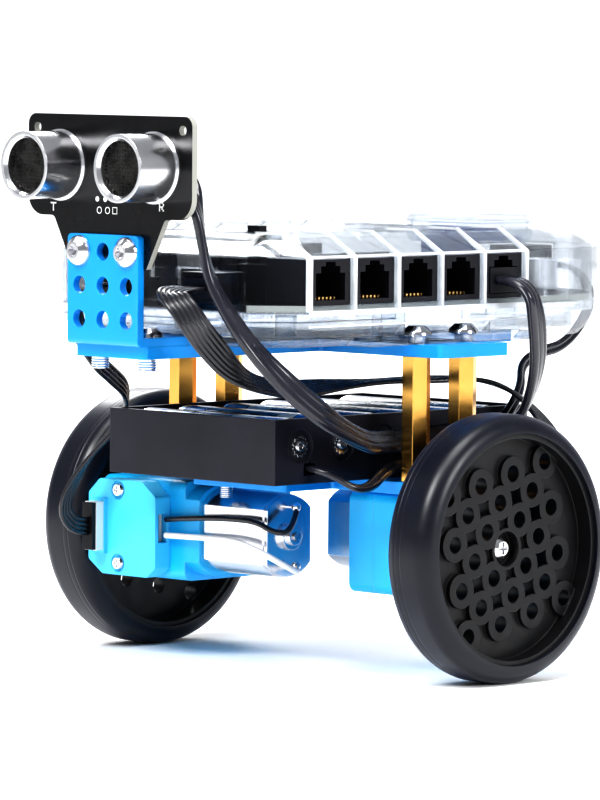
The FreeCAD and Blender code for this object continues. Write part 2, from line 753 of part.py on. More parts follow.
def gear_housing(name, side):
    """The outer half of the gearbox: a cup over the gears with a long bush for the shaft."""
    soft = softened(box(("box_split", "box_outer"), ("box_back", "box_front"), ("box_low", "box_high")))
    room = box(("box_split - 1", "46.6"), ("box_back + 2", "box_front - 1.6"), ("room_low", "room_high"))
    bush = rod("X", "46", "0", "axle_height", "5", "box_outer - 46 + 0.6")
    y2, z2 = GEARS["second"]
    tools = [room,
             rod("X", "40", "0", "axle_height", "shaft_r + running_gap", "20"),
             rod("X", "46", str(y2), "axle_height + %s" % z2, "0.8", "1.6")]
    for x in (4, 6):
        tools.append(rod("Z", "grid * %d" % x, "0", "box_high - 1.5", "1.5", "3"))
    for z in ("axle_height + 9", "axle_height - 9"):
        tools.append(rod("Y", "40.5", "box_front - 1.6", z, "1", "3"))
    shell = cut(join([soft, cut(bush, [rod("X", "45", "0", "axle_height", "4", "1.6")])]), tools)
    keep(turned(shell, side), "gear_housing_" + name)


def motor_mount(side):
    """The inner half of the gearbox with the collar that grips the motor."""
    y1, z1 = GEARS["first"]
    y2, z2 = GEARS["second"]
    body = softened(box(("box_inner", "box_split"), ("box_back", "box_front"), ("box_low", "box_high")))
    collar = shared(rod("X", "17", "motor_y", "axle_height", "motor_r + 1.3", "box_inner - 17"),
                    box(("17", "box_inner"), ("motor_y - motor_flat - 0.9", "motor_y + motor_flat + 0.9"),
                        ("box_low", "box_high")))
    can = shared(rod("X", "16", "motor_y", "axle_height", "motor_r", "motor_front - 16"),
                 box(("16", "motor_front"), ("motor_y - motor_flat", "motor_y + motor_flat"),
                     ("axle_height - 12", "axle_height + 12")))
    room = box(("28.4", "box_split + 1"), ("box_back + 2", "box_front - 1.6"), ("room_low", "room_high"))
    tools = [can, room,
             rod("X", "20", "motor_y", "axle_height", "2", "12"),
             rod("X", "27", str(y1), "axle_height + %s" % z1, "0.8", "2"),
             rod("X", "27", str(y2), "axle_height + %s" % z2, "0.8", "2")]
    core = box(("box_inner + 1", "27"), ("box_back + 2", "4"), ("room_low", "room_high"))
    pool(turned(cut(join([body, collar]), tools + [core]), side), "motor_mounts")


def encoder_cover(side):
    """The cover over the encoder board, with a raised pad for the plug and two cross head screws."""
    front = size("box_front")
    deep = 5.1
    low = size("box_low")
    high = size("box_high")
    right = size("box_outer")
    left = 27.2
    corners = [(left, low + 3), (left + 3, low + 0.6), (right - 5, low + 0.6), (right, low + 4),
               (right, low + 9), (right - 1.6, low + 10), (right - 1.6, high - 9), (right, high - 8),
               (right, high - 4), (right - 4, high - 0.4), (left + 5, high - 0.4), (left, high - 4)]
    cover = slab([(x, front, z) for x, z in corners], [1, 1, 1.5, 1, 0.6, 0.6, 0.6, 0.6, 1, 1.5, 1, 1],
                 (0, deep, 0))
    middle = size("axle_height")
    hollow = Part.makeBox(17.6, deep - 1.4, 17, V(left + 2, front, middle - 8.5))
    slot = Part.makeBox(4, 3, 7, V(left - 1, front + 1, middle - 3.2))
    pad = Part.makeBox(4.4, 1.2, 13.6, V(right - 6.8, front + deep, middle - 6.8))
    cover = cover.cut(hollow.fuse(slot)).fuse(pad)
    for z in (middle + 9, middle - 9):
        cover = cover.cut(Part.makeCylinder(1, 9, V(40.5, front - 1, z), V(0, 1, 0)))
        cover = cover.cut(Part.makeCylinder(2.3, 1, V(40.5, front + deep - 0.5, z), V(0, 1, 0)))
    pool(turned(solid(cover), side), "encoder_covers")
    screws = []
    for sign in (1, -1):
        z = "axle_height + 9 * %d" % sign
        seat = "box_front + %s" % (deep - 0.5)
        shank = rod("-Y", "40.5", seat, z, "1", "5")
        head = cone("Y", "40.5", seat, z, "1.9", "1.4", "1")
        slots = [box(("39.5", "41.5"), (seat + " + 0.6", seat + " + 2"), (z + " - 0.2", z + " + 0.2")),
                 box(("40.3", "40.7"), (seat + " + 0.6", seat + " + 2"), (z + " - 1", z + " + 1"))]
        screws.append(cut(join([shank, head]), slots))
    pool(turned(group(screws), side), "small_screws")
    board = box(("29.4", "46.6"), ("box_front + 0.2", "box_front + 1.6"),
                ("axle_height - 7.9", "axle_height + 7.9"))
    pool(turned(board, side), "encoder_boards")


def encoder_plug(side):
    """A white six way socket and the black plug of the ribbon cable in it."""
    face = "box_front + 6.3"
    shell = box(("44.4", "48.4"), (face, face + " + 2.4"), ("axle_height - 6", "axle_height + 6"))
    mouth = box(("45.2", "47.6"), (face + " + 0.8", face + " + 3"),
                ("axle_height - 5.2", "axle_height + 5.2"))
    pool(turned(cut(shell, [mouth]), side), "encoder_boards")
    inner = box(("45.3", "47.5"), (face + " + 0.9", face + " + 2.4"),
                ("axle_height - 5", "axle_height + 5"))
    outer = box(("44.6", "48.2"), (face + " + 2.4", face + " + 3.5"),
                ("axle_height - 5.8", "axle_height + 5.8"))
    pool(turned(join([inner, outer]), side), "motor_cable_plugs")


def motor(side):
    """A motor can with two flats, hollow round its rotor, and a black end cap with terminals."""
    middle = size("axle_height")
    y = size("motor_y")
    back = size("motor_back")
    front = size("motor_front")

    def barrel(start, stop, radius, flat):
        rod_shape = Part.makeCylinder(radius, stop - start, V(start, y, middle), V(1, 0, 0))
        return rod_shape.common(Part.makeBox(stop - start, 2 * flat, 40, V(start, y - flat, middle - 20)))

    radius = size("motor_r")
    flat = size("motor_flat")
    can = barrel(back, front, radius, flat).cut(barrel(back - 1, front - 1, radius - 0.8, flat - 0.7))
    bearing = 1 + size("running_gap")
    boss = Part.makeCylinder(2, 2.5, V(front - 1, y, middle), V(1, 0, 0))
    can = can.fuse(boss).cut(Part.makeCylinder(bearing, 20, V(front - 5, y, middle), V(1, 0, 0)))
    pool(turned(solid(can), side), "motor_cans")
    cap = barrel(back - 1.2, back, radius - 0.3, flat - 0.3).fuse(
        barrel(back, back + 2, radius - 0.8, flat - 0.7))
    cap = cap.fuse(Part.makeCylinder(3.3, 2.6, V(back - 2.6, y, middle), V(1, 0, 0)))
    cap = cap.fuse(Part.makeCylinder(2.1, 3.6, V(back - 3.6, y, middle), V(1, 0, 0)))
    cap = cap.cut(Part.makeCylinder(bearing, 20, V(back - 5, y, middle), V(1, 0, 0)))
    tags = []
    for sign in (-1, 1):
        tag = Part.makeBox(2.8, 2.4, 0.5, V(back - 3.8, y - 1.2, middle + sign * 7.2 - 0.25))
        blob = Part.makeSphere(1.2, V(back - 3.6, y, middle + sign * 7.2))
        tags.append(tag.fuse(blob))
    pool(turned(solid(cap.fuse(tags)), side), "motor_caps")


# ---------------------------------------------------------------- control board and its clear case

def case_outline(inset, z):
    """The case's plan: a chamfered nose, straight port sides and a rounded tail."""
    half = size("case_half_x") - inset
    front = -size("case_front") + inset
    rear = size("case_rear") - inset
    corner = size("case_corner") - 0.6 * inset
    curve = size("case_round") - inset
    points = [(-half + corner, front, z), (half - corner, front, z), (half, front + corner, z),
              (half, rear, z), (-half, rear, z), (-half, front + corner, z)]
    return rounded(points, [2, 2, 2, curve, curve, 2])


def case_solid(inset, low, high):
    return Part.Face(case_outline(inset, low)).extrude(V(0, 0, high - low))


def port_rows():
    return [size("port_first") + size("port_pitch") * k for k in range(5)]


def case_bottom():
    """The floor tray of the case: tucked in at its foot, with niches for the screws at its sides."""
    low = size("case_bottom")
    joint = size("case_joint")
    wall = size("case_wall")
    tuck = size("case_tuck")
    bend = size("tuck_top")
    half = size("case_half_x")
    half_foot = 29
    niche_x = 34
    niche_half = 14
    screw_y = size("grid")
    skirt = Part.makeLoft([case_outline(tuck, low), case_outline(0, bend)], True, True)
    hollow = case_solid(wall, bend + 1, joint + 1).fuse(case_solid(tuck + wall, low + 2, bend + 1))
    tray = skirt.fuse(case_solid(0, bend, joint)).cut(hollow)
    tray = tray.fuse(Part.makeBox(2 * half + 5, 2 * half_foot, 2, V(-half - 2.5, -half_foot, low)))
    patch = case_solid(tuck, low, low + 4).common(Part.makeBox(30, 11.5, 4, V(-15, -60, low)))
    half_arm = size("arm_half_wide") + 0.5
    tongue = Part.makeBox(2 * half_arm, 10, 2.4, V(-half_arm, -58.5, low))
    tray = tray.fuse(patch).cut(tongue)
    for side in (-1, 1):
        reach = half + 1.5 - niche_x
        niche = Part.makeBox(reach, 2 * niche_half, 10,
                             V(niche_x if side > 0 else -half - 1.5, -niche_half, low + 2))
        tray = tray.cut(niche)
        back = Part.makeBox(wall, 2 * niche_half + 2 * wall, joint - low - 2,
                            V(side * (niche_x - 0.8) - wall / 2, -niche_half - wall, low + 2))
        ends = []
        for y in (-niche_half - wall, niche_half):
            end = Part.makeBox(half - niche_x + 1.4, wall, joint - low - 2,
                               V(niche_x - 1.5 if side > 0 else -half + 0.1, y, low + 2))
            ends.append(end.common(case_solid(0.2, low, joint)))
        tray = tray.fuse([back] + ends)
        for y in (-screw_y, screw_y):
            foot = V(side * size("standoff_x"), y, low - 1)
            tray = tray.cut(Part.makeCylinder(size("grid_hole"), 4, foot, V(0, 0, 1)))
    for x, y in ((-24, -36), (24, -36), (-24, 40), (24, 40)):
        tray = tray.fuse(Part.makeCylinder(2.6, joint - low - 1.6, V(x, y, low), V(0, 0, 1)))
    return keep(solid(tray.removeSplitter()), "case_bottom")


def case_top():
    """The clear lid: upright sides with port windows, sloped shoulders and a raised rear hood."""
    joint = size("case_joint")
    shoulder = size("case_shoulder")
    top = size("case_top")
    wall = size("case_wall")
    slope = size("case_slope")

    def dome(inset, low, high):
        walls = case_solid(inset, low, shoulder)
        roof = Part.makeLoft([case_outline(inset, shoulder), case_outline(inset + slope, high)], True, True)
        return walls.fuse(roof)

    def window(wide, deep, tall, x, y, z):
        return Part.makeBox(wide, deep, tall, V(x - wide / 2, y - deep / 2, z))

    half = size("case_half_x")
    front = -size("case_front")
    rear = size("case_rear")
    low = size("port_low")
    port_wide = 13.2
    hood_y = 52.5
    hood_wide = 26
    hood_deep = 21
    hood = window(hood_wide, hood_deep, top - shoulder + 2.3, 0, hood_y, shoulder)
    hood = hood.makeFillet(2.2, hood.Edges)
    lid = dome(0, joint, top).cut(dome(wall, joint - 1, top - wall)).fuse(hood)
    tools = [window(hood_wide - 3, hood_deep - 3, top - shoulder + 0.9, 0, hood_y, shoulder - 0.1)]
    for side in (-1, 1):
        tools += [window(6, port_wide, size("port_high") - low, side * half, y, low) for y in port_rows()]
        tools.append(window(12.6, 6, 8.4, side * size("nose_socket_x"), front, low - 0.4))
    tools.append(window(11, 8, 11, size("jack_x"), rear - 1, low))
    tools.append(window(12.4, 8, 7.4, size("usb_x"), rear - 1, low))
    tools.append(Part.makeCylinder(2.5, 8, V(size("reset_x"), size("control_y"), top - 5), V(0, 0, 1)))
    tools.append(window(9, 3.4, 8, size("switch_x"), size("control_y"), top - 5))
    tools += [window(1.6, 12, 6, 5 * k, 20, top - 3) for k in range(-2, 3)]
    for tool in tools:
        lid = lid.cut(tool)
    return keep(solid(lid.removeSplitter()), "case_top")


def main_board():
    """The control board, a little smaller than the case."""
    thick = size("board_thick")
    board = Part.Face(case_outline(2.2, size("board_top") - thick)).extrude(V(0, 0, thick))
    return keep(solid(board), "main_board")


def port_banks():
    """Five black cable sockets along each side, with stepped mouths."""
    low = size("board_top")
    high = size("port_high") - 0.2
    out = size("case_half_x") - 0.6
    deep = 15
    wide = 12.8
    steps = [(9.8, 1.2, 6.4), (6.4, 7, 2.2), (3.4, 8.6, 1.6)]
    for side in (1, -1):
        rows = port_rows()
        bank = Part.makeBox(0.6, rows[-1] - rows[0] + 10, 3, V(out - deep, rows[0] - 5, low))
        for y in rows:
            body = Part.makeBox(deep, wide, high - low, V(out - deep, y - wide / 2, low))
            for across, up, tall in steps:
                body = body.cut(Part.makeBox(11, across, tall, V(out - 10, y - across / 2, low + up)))
            bank = bank.fuse(body)
        if side < 0:
            bank = bank.mirror(V(0, 0, 0), V(1, 0, 0))
        pool(solid(bank.removeSplitter()), "port_banks")


def on_board(x, y, wide, deep, tall, lift=0):
    """A block that stands on the control board, centred at x, y and raised by lift."""
    return box(("%s - %s" % (x, wide / 2), "%s + %s" % (x, wide / 2)),
               ("%s - %s" % (y, deep / 2), "%s + %s" % (y, deep / 2)),
               ("board_top + %s" % lift, "board_top + %s" % (lift + tall)))


def nose_sockets():
    """The two motor sockets in the nose of the case."""
    for way in (1, -1):
        x = "nose_socket_x * %d" % way
        body = on_board(x, "-case_front + case_wall + 3.5", 12, 7, 7.2)
        mouth = on_board(x, "-case_front + case_wall + 2.3", 10, 6.6, 4.8, 1.2)
        pool(cut(body, [mouth]), "port_banks")


def tail_sockets():
    """The power jack and the data socket at the tail."""
    rear = "case_rear - case_wall"
    jack = on_board("jack_x", rear + " - 6", 10, 12, 10.6)
    keep(cut(jack, [rod("Y", "jack_x", rear + " - 9", "board_top + 5.6", "3", "10")]), "power_jack")
    shell = on_board("usb_x", rear + " - 6.7", 12, 14.6, 7)
    room = on_board("usb_x", rear + " - 5.5", 10.8, 13, 5.8, 0.6)
    tongue = on_board("usb_x", rear + " - 7", 6, 12, 2.2, 2.2)
    keep(join([cut(shell, [room]), tongue]), "usb_port")


def light_ring():
    """A ring board with twelve square lamps."""
    middle = 17.3
    half_band = 2.7
    ring = cut(rod("Z", "0", "ring_y", "board_top", str(middle + half_band), "0.8"),
               [rod("Z", "0", "ring_y", "board_top", str(middle - half_band), "1")])
    lamps = []
    for k in range(12):
        angle = math.radians(30 * k)
        x = "%.3f" % (middle * math.cos(angle))
        y = "ring_y + %.3f" % (middle * math.sin(angle))
        lamps.append(on_board(x, y, 3.8, 3.8, 1.5, 0.8))
    keep(join([ring] + lamps), "light_ring")


def board_parts():
    """What else stands on the control board: chips, pin headers, buzzer, capacitors and radio."""
    chips = [on_board("0", "ring_y", 12, 12, 1.4), on_board("-5.5", "23.5", 7, 7, 1.6),
             on_board("6.5", "23.5", 7, 7, 1.6), on_board("-2", "-45.5", 6, 5, 2)]
    headers = [on_board("-20.75", "31", 2.5, 26, 8.5), on_board("20.75", "29", 2.5, 22, 8.5)]
    pool(group(chips), "board_chips")
    pool(group(headers), "board_chips")
    radio = on_board("0", "52.25", 21, 15.5, 1, 12.2)
    shield = on_board("0", "51", 16, 10, 2.4, 13.2)
    leg = on_board("0", "45.5", 18, 2, 12.2)
    keep(join([radio, shield, leg]), "radio_module")
    buzzer = cut(rod("Z", "19", "56", "board_top", "5.5", "8"),
                 [rod("Z", "19", "56", "board_top + 6", "1.2", "3")])
    capacitors = [rod("Z", x, "36", "board_top", "3.2", "6.5") for x in ("-14", "13")]
    keep(group(capacitors + [buzzer]), "board_cans")


def controls():
    """The reset button and the power slide switch, each with its own moving piece."""
    low = "board_top"
    well = rod("Z", "reset_x", "control_y", low + " + 2", "2.25", "4")
    pool(cut(on_board("reset_x", "control_y", 6, 6, 4.5), [well]), "switch_bodies")
    stem = rod("Z", "reset_x", "control_y", low + " + 3.2", "2.2", "case_top - board_top - 2.4")
    keep(stem, "reset_button")
    room = on_board("switch_x", "control_y", 8, 2.6, 5.6, 4.4)
    pool(cut(on_board("switch_x", "control_y", 10, 7, 9), [room]), "switch_bodies")
    slider = box(("switch_x - 3.9", "switch_x + 0.1"), ("control_y - 1.2", "control_y + 1.2"),
                 (low + " + 4.5", "case_top + 1.5"))
    keep(slider, "power_slider")


# ---------------------------------------------------------------- cords

CORDS = {
    # name: (radius, route from one end piece to the other)
    "sensor_cable": (3.2, [(9, -64.9, 121), (17, -64.9, 121), (22.5, -64.5, 114), (23.5, -63.5, 105),
                           (25, -62.6, 97), (29, -61.5, 90), (36, -58.5, 79.5), (41, -45, 66.5),
                           (37.5, -24, 57), (32.6, -10, 56), (32.6, 12, 56.6), (40, 27, 58),
                           (47.6, 26.5, 71), (49.8, 24, 84), (49.8, 20.5, 94.4), (41.6, 20.5, 94.4)]),
    "right_motor_cable": (2.2, [(-46.4, -34.1, 32), (-46.4, -39, 32), (-46.8, -42.5, 38), (-43, -37.5, 49),
                                (-36, -33, 58), (-29.5, -36, 66), (-24, -47.5, 71), (-19, -58, 75.5),
                                (-17, -66.5, 85), (-15, -66.5, 93.4), (-15, -56.8, 93.4)]),
    "left_motor_cable": (3.4, [(46.4, 34.1, 32), (46.4, 39.5, 32), (46.4, 43, 39), (42, 39, 57),
                               (30.5, 32, 69.6), (20, 14, 69.6), (20, -14, 69.6), (25, -38, 69),
                               (27.5, -55, 73), (27.5, -66, 82), (22.5, -69.5, 91), (15, -67, 93.4),
                               (15, -56.8, 93.4)]),
    "battery_lead": (1.5, [(28.3, -32, 50.6), (33.5, -32, 50.6), (39, -24.5, 44.5), (36, -13, 50.8),
                           (33, 1, 51.1), (30.6, 15, 50.8), (30.4, 26, 54), (30.7, 34.5, 61),
                           (28.8, 41, 66.9), (22, 48, 71.8), (20.3, 56, 74.6), (20.8, 65.5, 76),
                           (19.3, 76, 84), (12, 84, 90.5), (6, 83, 95.6), (6, 72, 95.6)]),
}
LEADS = {
    "black_lead": (0.7, [(-26.8, -26.2, 34.5), (-16, -26.4, 35.6), (-4, -26.4, 36.2), (4, -25.6, 36),
                         (8.6, -24, 33.4), (10.4, -20, 33.6), (8.4, -16.4, 38.2)]),
    "white_lead": (0.75, [(-26.8, -26.2, 30.6), (-14, -26.6, 31), (-2, -26.4, 31), (6, -26, 28.8),
                          (10.2, -23, 26), (11.4, -18.4, 23.6), (8.4, -16.2, 24)]),
}


def tube(points, radius):
    """Straight runs joined by tangent arcs, swept by a circle."""
    spots = [V(*p) for p in points]
    edges = []
    bends = []
    start = spots[0]
    for before, here, after in zip(spots, spots[1:], spots[2:]):
        back = before - here
        ahead = after - here
        reach = 0.45 * min(back.Length, ahead.Length)
        half = back.getAngle(ahead) / 2
        back.normalize()
        ahead.normalize()
        first = here + back * reach
        last = here + ahead * reach
        inward = back + ahead
        inward.normalize()
        bend = reach * math.tan(half)
        bends.append("%.1f" % bend)
        middle = here + inward * (bend / math.sin(half) - bend)
        edges.append(Part.makeLine(start, first))
        edges.append(Part.Arc(first, middle, last).toShape())
        start = last
    edges.append(Part.makeLine(start, spots[-1]))
    path = Part.Wire(edges)
    ring = Part.Wire(Part.makeCircle(radius, spots[0], spots[1] - spots[0]))
    swept = path.makePipeShell([ring], True, False)
    length = sum(edge.Length for edge in edges)
    whole = math.pi * radius ** 2 * length
    print("cord radius %.2f length %.1f volume %.1f of %.1f" % (radius, length, swept.Volume, whole))
    print("  bends", " ".join(bends))
    return swept


def cords():
    for name, (radius, points) in CORDS.items():
        keep(solid(tube(points, radius)), name)
    for label, (radius, points) in LEADS.items():
        for name, side in (("right", 1), ("left", -1)):
            keep(turned(solid(tube(points, radius)), side), label + "_" + name)


def cord_plugs():
    """The plugs at the board ends of the cords."""
    row = "port_first + port_pitch * 4"
    pool(on_board("case_half_x - 4.2", row, 7.6, 9.2, 6.1, 1.3), "sensor_cable_plugs")
    for way in (1, -1):
        pool(on_board("nose_socket_x * %d" % way, "-case_front + 2.75", 9.6, 4.5, 4.6, 1.3),
             "motor_cable_plugs")
    rear = "case_rear - case_wall"
    barrel = rod("Y", "jack_x", rear + " - 8", "board_top + 5.6", "2.9", "8")
    grip = rod("Y", "jack_x", rear, "board_top + 5.6", "4", "1")
    keep(join([barrel, grip]), "power_plug")


upper_plate()
lower_plate()
sensor_bracket()
standoffs()
case_screws()
bracket_screws()
sensor_screws()
sensor_nuts()
tray_screws()
drive_screws()
battery_tray()
cells()
contact_rivets()
sensor_board()
sensor_eyes()
sensor_meshes()
sensor_socket()
sensor_plug()
wheels()
for side_name, way in (("left", 1), ("right", -1)):
    gear_train(side_name, way)
    gear_housing(side_name, way)
    motor_mount(way)
    encoder_cover(way)
    encoder_plug(way)
    motor(way)
case_bottom()
case_top()
main_board()
port_banks()
nose_sockets()
tail_sockets()
light_ring()
board_parts()
controls()
cords()
cord_plugs()
for shared_label, shared_pieces in pools.items():
    keep(group(shared_pieces), shared_label)

doc.recompute()
os.makedirs("parts", exist_ok=True)
for thing in kept:
    bad = [state for state in thing.State if state in ("Invalid", "Error")]
    if bad or thing.Shape.isNull() or not thing.Shape.isValid():
        raise RuntimeError("bad sub-part " + thing.Label)
    thing.Shape.exportStep("parts/%s.step" % thing.Label)
print("sub-parts", len(kept))
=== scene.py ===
"""Looks of the two wheel robot car: materials, cables, marks, small parts, camera and studio."""
import bpy
import bmesh
import math
from mathutils import Matrix, Vector


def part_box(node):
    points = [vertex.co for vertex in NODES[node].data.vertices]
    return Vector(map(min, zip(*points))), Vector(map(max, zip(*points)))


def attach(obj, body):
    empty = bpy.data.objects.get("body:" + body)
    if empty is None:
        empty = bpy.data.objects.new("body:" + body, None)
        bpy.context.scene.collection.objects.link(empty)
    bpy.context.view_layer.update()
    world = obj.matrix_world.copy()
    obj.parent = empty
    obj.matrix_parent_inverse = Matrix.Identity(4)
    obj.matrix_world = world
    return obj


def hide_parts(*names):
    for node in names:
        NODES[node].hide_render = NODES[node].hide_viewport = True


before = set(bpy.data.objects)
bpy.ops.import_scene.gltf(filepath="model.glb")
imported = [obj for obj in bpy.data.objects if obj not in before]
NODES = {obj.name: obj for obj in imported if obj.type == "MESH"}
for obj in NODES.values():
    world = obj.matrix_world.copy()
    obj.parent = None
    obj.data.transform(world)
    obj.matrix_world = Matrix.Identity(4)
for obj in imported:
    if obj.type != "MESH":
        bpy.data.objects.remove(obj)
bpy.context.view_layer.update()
MM = 0.001


# ------------------------------------------------------------------ camera

CAMERA_AT = Vector((0.9960, -1.0073, 0.1589))
LOOK_AT = Vector((-0.0035, -0.0035, 0.0640))
CAMERA_ROLL = math.radians(0.43)
CAMERA_LENS = 262.0


def make_camera():
    data = bpy.data.cameras.new("camera")
    data.lens = CAMERA_LENS
    data.sensor_width = 36
    data.clip_end = 50
    camera = bpy.data.objects.new("camera", data)
    bpy.context.scene.collection.objects.link(camera)
    back = (CAMERA_AT - LOOK_AT).normalized()
    right = Vector((0, 0, 1)).cross(back).normalized()
    up = back.cross(right)
    turned_right = right * math.cos(CAMERA_ROLL) + up * math.sin(CAMERA_ROLL)
    turned_up = back.cross(turned_right)
    turn = Matrix((turned_right, turned_up, back)).transposed()
    camera.matrix_world = Matrix.Translation(CAMERA_AT) @ turn.to_4x4()
    bpy.context.scene.camera = camera


# ------------------------------------------------------------------ material helpers

class Shader:
    """A principled material with short calls for the node set-ups that the finishes share."""

    def __init__(self, name, color, rough=0.5, metallic=0.0, inputs=None):
        self.material = bpy.data.materials.new(name)
        self.material.use_nodes = True
        self.tree = self.material.node_tree
        self.main = self.tree.nodes["Principled BSDF"]
        self.output = self.tree.nodes["Material Output"]
        self.main.inputs["Base Color"].default_value = (*color, 1)
        self.main.inputs["Roughness"].default_value = rough
        self.main.inputs["Metallic"].default_value = metallic
        for key, value in (inputs or {}).items():
            self.main.inputs[key].default_value = value
        self.color = self.main.inputs["Base Color"]
        self.color_value = color
        self.place = self.tree.nodes.new("ShaderNodeTexCoord").outputs["Object"]
        self.normal = None
        self.edge = None

    def node(self, kind, **values):
        made = self.tree.nodes.new("ShaderNode" + kind)
        for key, value in values.items():
            if key in made.inputs:
                made.inputs[key].default_value = value
            else:
                setattr(made, key.lower(), value)
        return made

    def link(self, source, target):
        self.tree.links.new(source, target)
        return target

    def stretched(self, scale):
        mapping = self.node("Mapping")
        mapping.inputs["Scale"].default_value = scale
        self.link(self.place, mapping.inputs["Vector"])
        return mapping.outputs["Vector"]

    def noise(self, scale, detail=4.0, stretch=(1, 1, 1)):
        noise = self.node("TexNoise", Scale=scale, Detail=detail)
        self.link(self.stretched(stretch), noise.inputs["Vector"])
        return noise.outputs["Fac"]

    def ramp(self, value, low, high, start=0.0, end=1.0):
        """A value spread from low to high as the source goes from start to end."""
        spread = self.node("MapRange")
        for key, number in (("From Min", start), ("From Max", end), ("To Min", low), ("To Max", high)):
            spread.inputs[key].default_value = number
        self.link(value, spread.inputs["Value"])
        return spread.outputs["Result"]

    def mix(self, factor, first, second):
        """A colour mixed from two colours or colour sockets."""
        mix = self.tree.nodes.new("ShaderNodeMix")
        mix.data_type = "RGBA"
        self.link(factor, mix.inputs["Factor"])
        for socket, value in ((mix.inputs["A"], first), (mix.inputs["B"], second)):
            pick = [s for s in mix.inputs if s.name == socket.name and s.type == "RGBA"][0]
            if isinstance(value, tuple):
                pick.default_value = (*value, 1)
            else:
                self.link(value, pick)
        return [s for s in mix.outputs if s.type == "RGBA"][0]

    def vary(self, scale, darker, lighter, stretch=(1, 1, 1)):
        """Slow variation of the base colour between two multiples of it."""
        low = tuple(c * darker for c in self.color_value)
        high = tuple(min(1.0, c * lighter) for c in self.color_value)
        factor = self.ramp(self.noise(scale, stretch=stretch), 0, 1, 0.3, 0.7)
        self.link(self.mix(factor, low, high), self.color)
        return self

    def paint_edge_light(self, lighter, width=0.0004):
        """Painted light along edges: another colour, lighter for a painted highlight and darker for painted
        shade, found by comparing a rounded normal with the true one.
        """
        bevel = self.node("Bevel", Radius=width)
        geometry = self.node("NewGeometry")
        dot = self.node("VectorMath", operation="DOT_PRODUCT")
        self.link(bevel.outputs["Normal"], dot.inputs[0])
        self.link(geometry.outputs["Normal"], dot.inputs[1])
        edge = self.ramp(dot.outputs["Value"], 1, 0, 0.72, 0.98)
        source = self.color.links[0].from_socket if self.color.links else self.color_value
        self.link(self.mix(edge, source, lighter), self.color)
        self.edge = edge
        return self

    def rough(self, scale, low, high, stretch=(1, 1, 1)):
        value = self.ramp(self.noise(scale, 6.0, stretch), low, high, 0.3, 0.7)
        self.link(value, self.main.inputs["Roughness"])
        return self

    def bump(self, height, strength, distance):
        bump = self.node("Bump", Strength=strength, Distance=distance)
        self.link(height, bump.inputs["Height"])
        if self.normal is not None:
            self.link(self.normal, bump.inputs["Normal"])
        self.normal = bump.outputs["Normal"]
        self.link(self.normal, self.main.inputs["Normal"])
        return self

    def grain(self, scale, strength, distance=0.0001, stretch=(1, 1, 1)):
        return self.bump(self.noise(scale, 5.0, stretch), strength, distance)

    def soft_edges(self, radius=0.0003):
        """Edges catch the light as if slightly rounded."""
        bevel = self.node("Bevel", Radius=radius)
        self.normal = bevel.outputs["Normal"]
        self.link(self.normal, self.main.inputs["Normal"])
        return self

    def axis(self, letter):
        split = self.node("SeparateXYZ")
        self.link(self.place, split.inputs["Vector"])
        return split.outputs[letter]

    def math(self, operation, first, second=0.0, third=0.0):
        made = self.tree.nodes.new("ShaderNodeMath")
        made.operation = operation
        for socket, value in zip(made.inputs, (first, second, third)):
            if isinstance(value, (int, float)):
                socket.default_value = value
            else:
                self.link(value, socket)
        return made.outputs["Value"]


# ------------------------------------------------------------------ materials

AZURE = (0.001, 0.29, 0.78)
CYAN = (0.012, 0.44, 0.86)
PALE_CYAN = (0.07, 0.56, 0.92)
NIGHT = (0.006, 0.006, 0.009)


def anodised_blue():
    shade = Shader("anodised_blue", AZURE, 0.34, 0.2, inputs={"Coat Weight": 0.1, "Coat Roughness": 0.25})
    shade.soft_edges(0.00045)
    # Painted highlight: the edges get a brighter blue, as if catching light.
    shade.vary(60, 0.94, 1.06).paint_edge_light((0.03, 0.46, 0.95))
    shade.rough(220, 0.28, 0.4).grain(2600, 0.05, 0.00003)
    return shade.material


def moulded_cyan():
    shade = Shader("moulded_cyan", CYAN, 0.36,
                   inputs={"Subsurface Weight": 0.06, "Subsurface Radius": (0.001, 0.002, 0.003)})
    shade.soft_edges(0.0005)
    # Painted highlight: the edges get a paler cyan, as if catching light.
    shade.vary(45, 0.93, 1.07).paint_edge_light((0.12, 0.55, 0.95), 0.0005)
    shade.rough(160, 0.30, 0.44).grain(1500, 0.12, 0.00005)
    return shade.material


def moulded_pale_cyan():
    shade = Shader("moulded_pale_cyan", PALE_CYAN, 0.38)
    shade.soft_edges(0.0005)
    shade.vary(50, 0.93, 1.05).rough(180, 0.30, 0.46).grain(1500, 0.12, 0.00005)
    return shade.material


def brass():
    shade = Shader("bright_brass", (0.80, 0.46, 0.13), 0.2, 1.0)
    shade.soft_edges(0.0003)
    shade.vary(60, 0.9, 1.08).rough(240, 0.16, 0.26)
    return shade.material


def bright_steel():
    shade = Shader("bright_steel", (0.66, 0.66, 0.68), 0.16, 1.0)
    shade.soft_edges(0.00025)
    shade.vary(150, 0.92, 1.08).rough(260, 0.12, 0.2)
    return shade.material


def brushed_can():
    """Bright drawn aluminium, smooth and almost polished."""
    shade = Shader("brushed_can", (0.80, 0.80, 0.82), 0.22, 1.0)
    shade.soft_edges(0.0003)
    shade.vary(60, 0.95, 1.04).rough(200, 0.17, 0.26)
    return shade.material


def ground_steel():
    shade = Shader("ground_steel", (0.55, 0.55, 0.57), 0.3, 1.0)
    shade.vary(300, 0.9, 1.1).rough(600, 0.22, 0.38).grain(2500, 0.08, 0.00002)
    return shade.material


def woven_mesh():
    """Dark metal threads for the screens in the eyes."""
    shade = Shader("woven_mesh", (0.035, 0.034, 0.033), 0.3, 0.9)
    shade.vary(300, 0.4, 2.2).rough(700, 0.24, 0.36)
    return shade.material


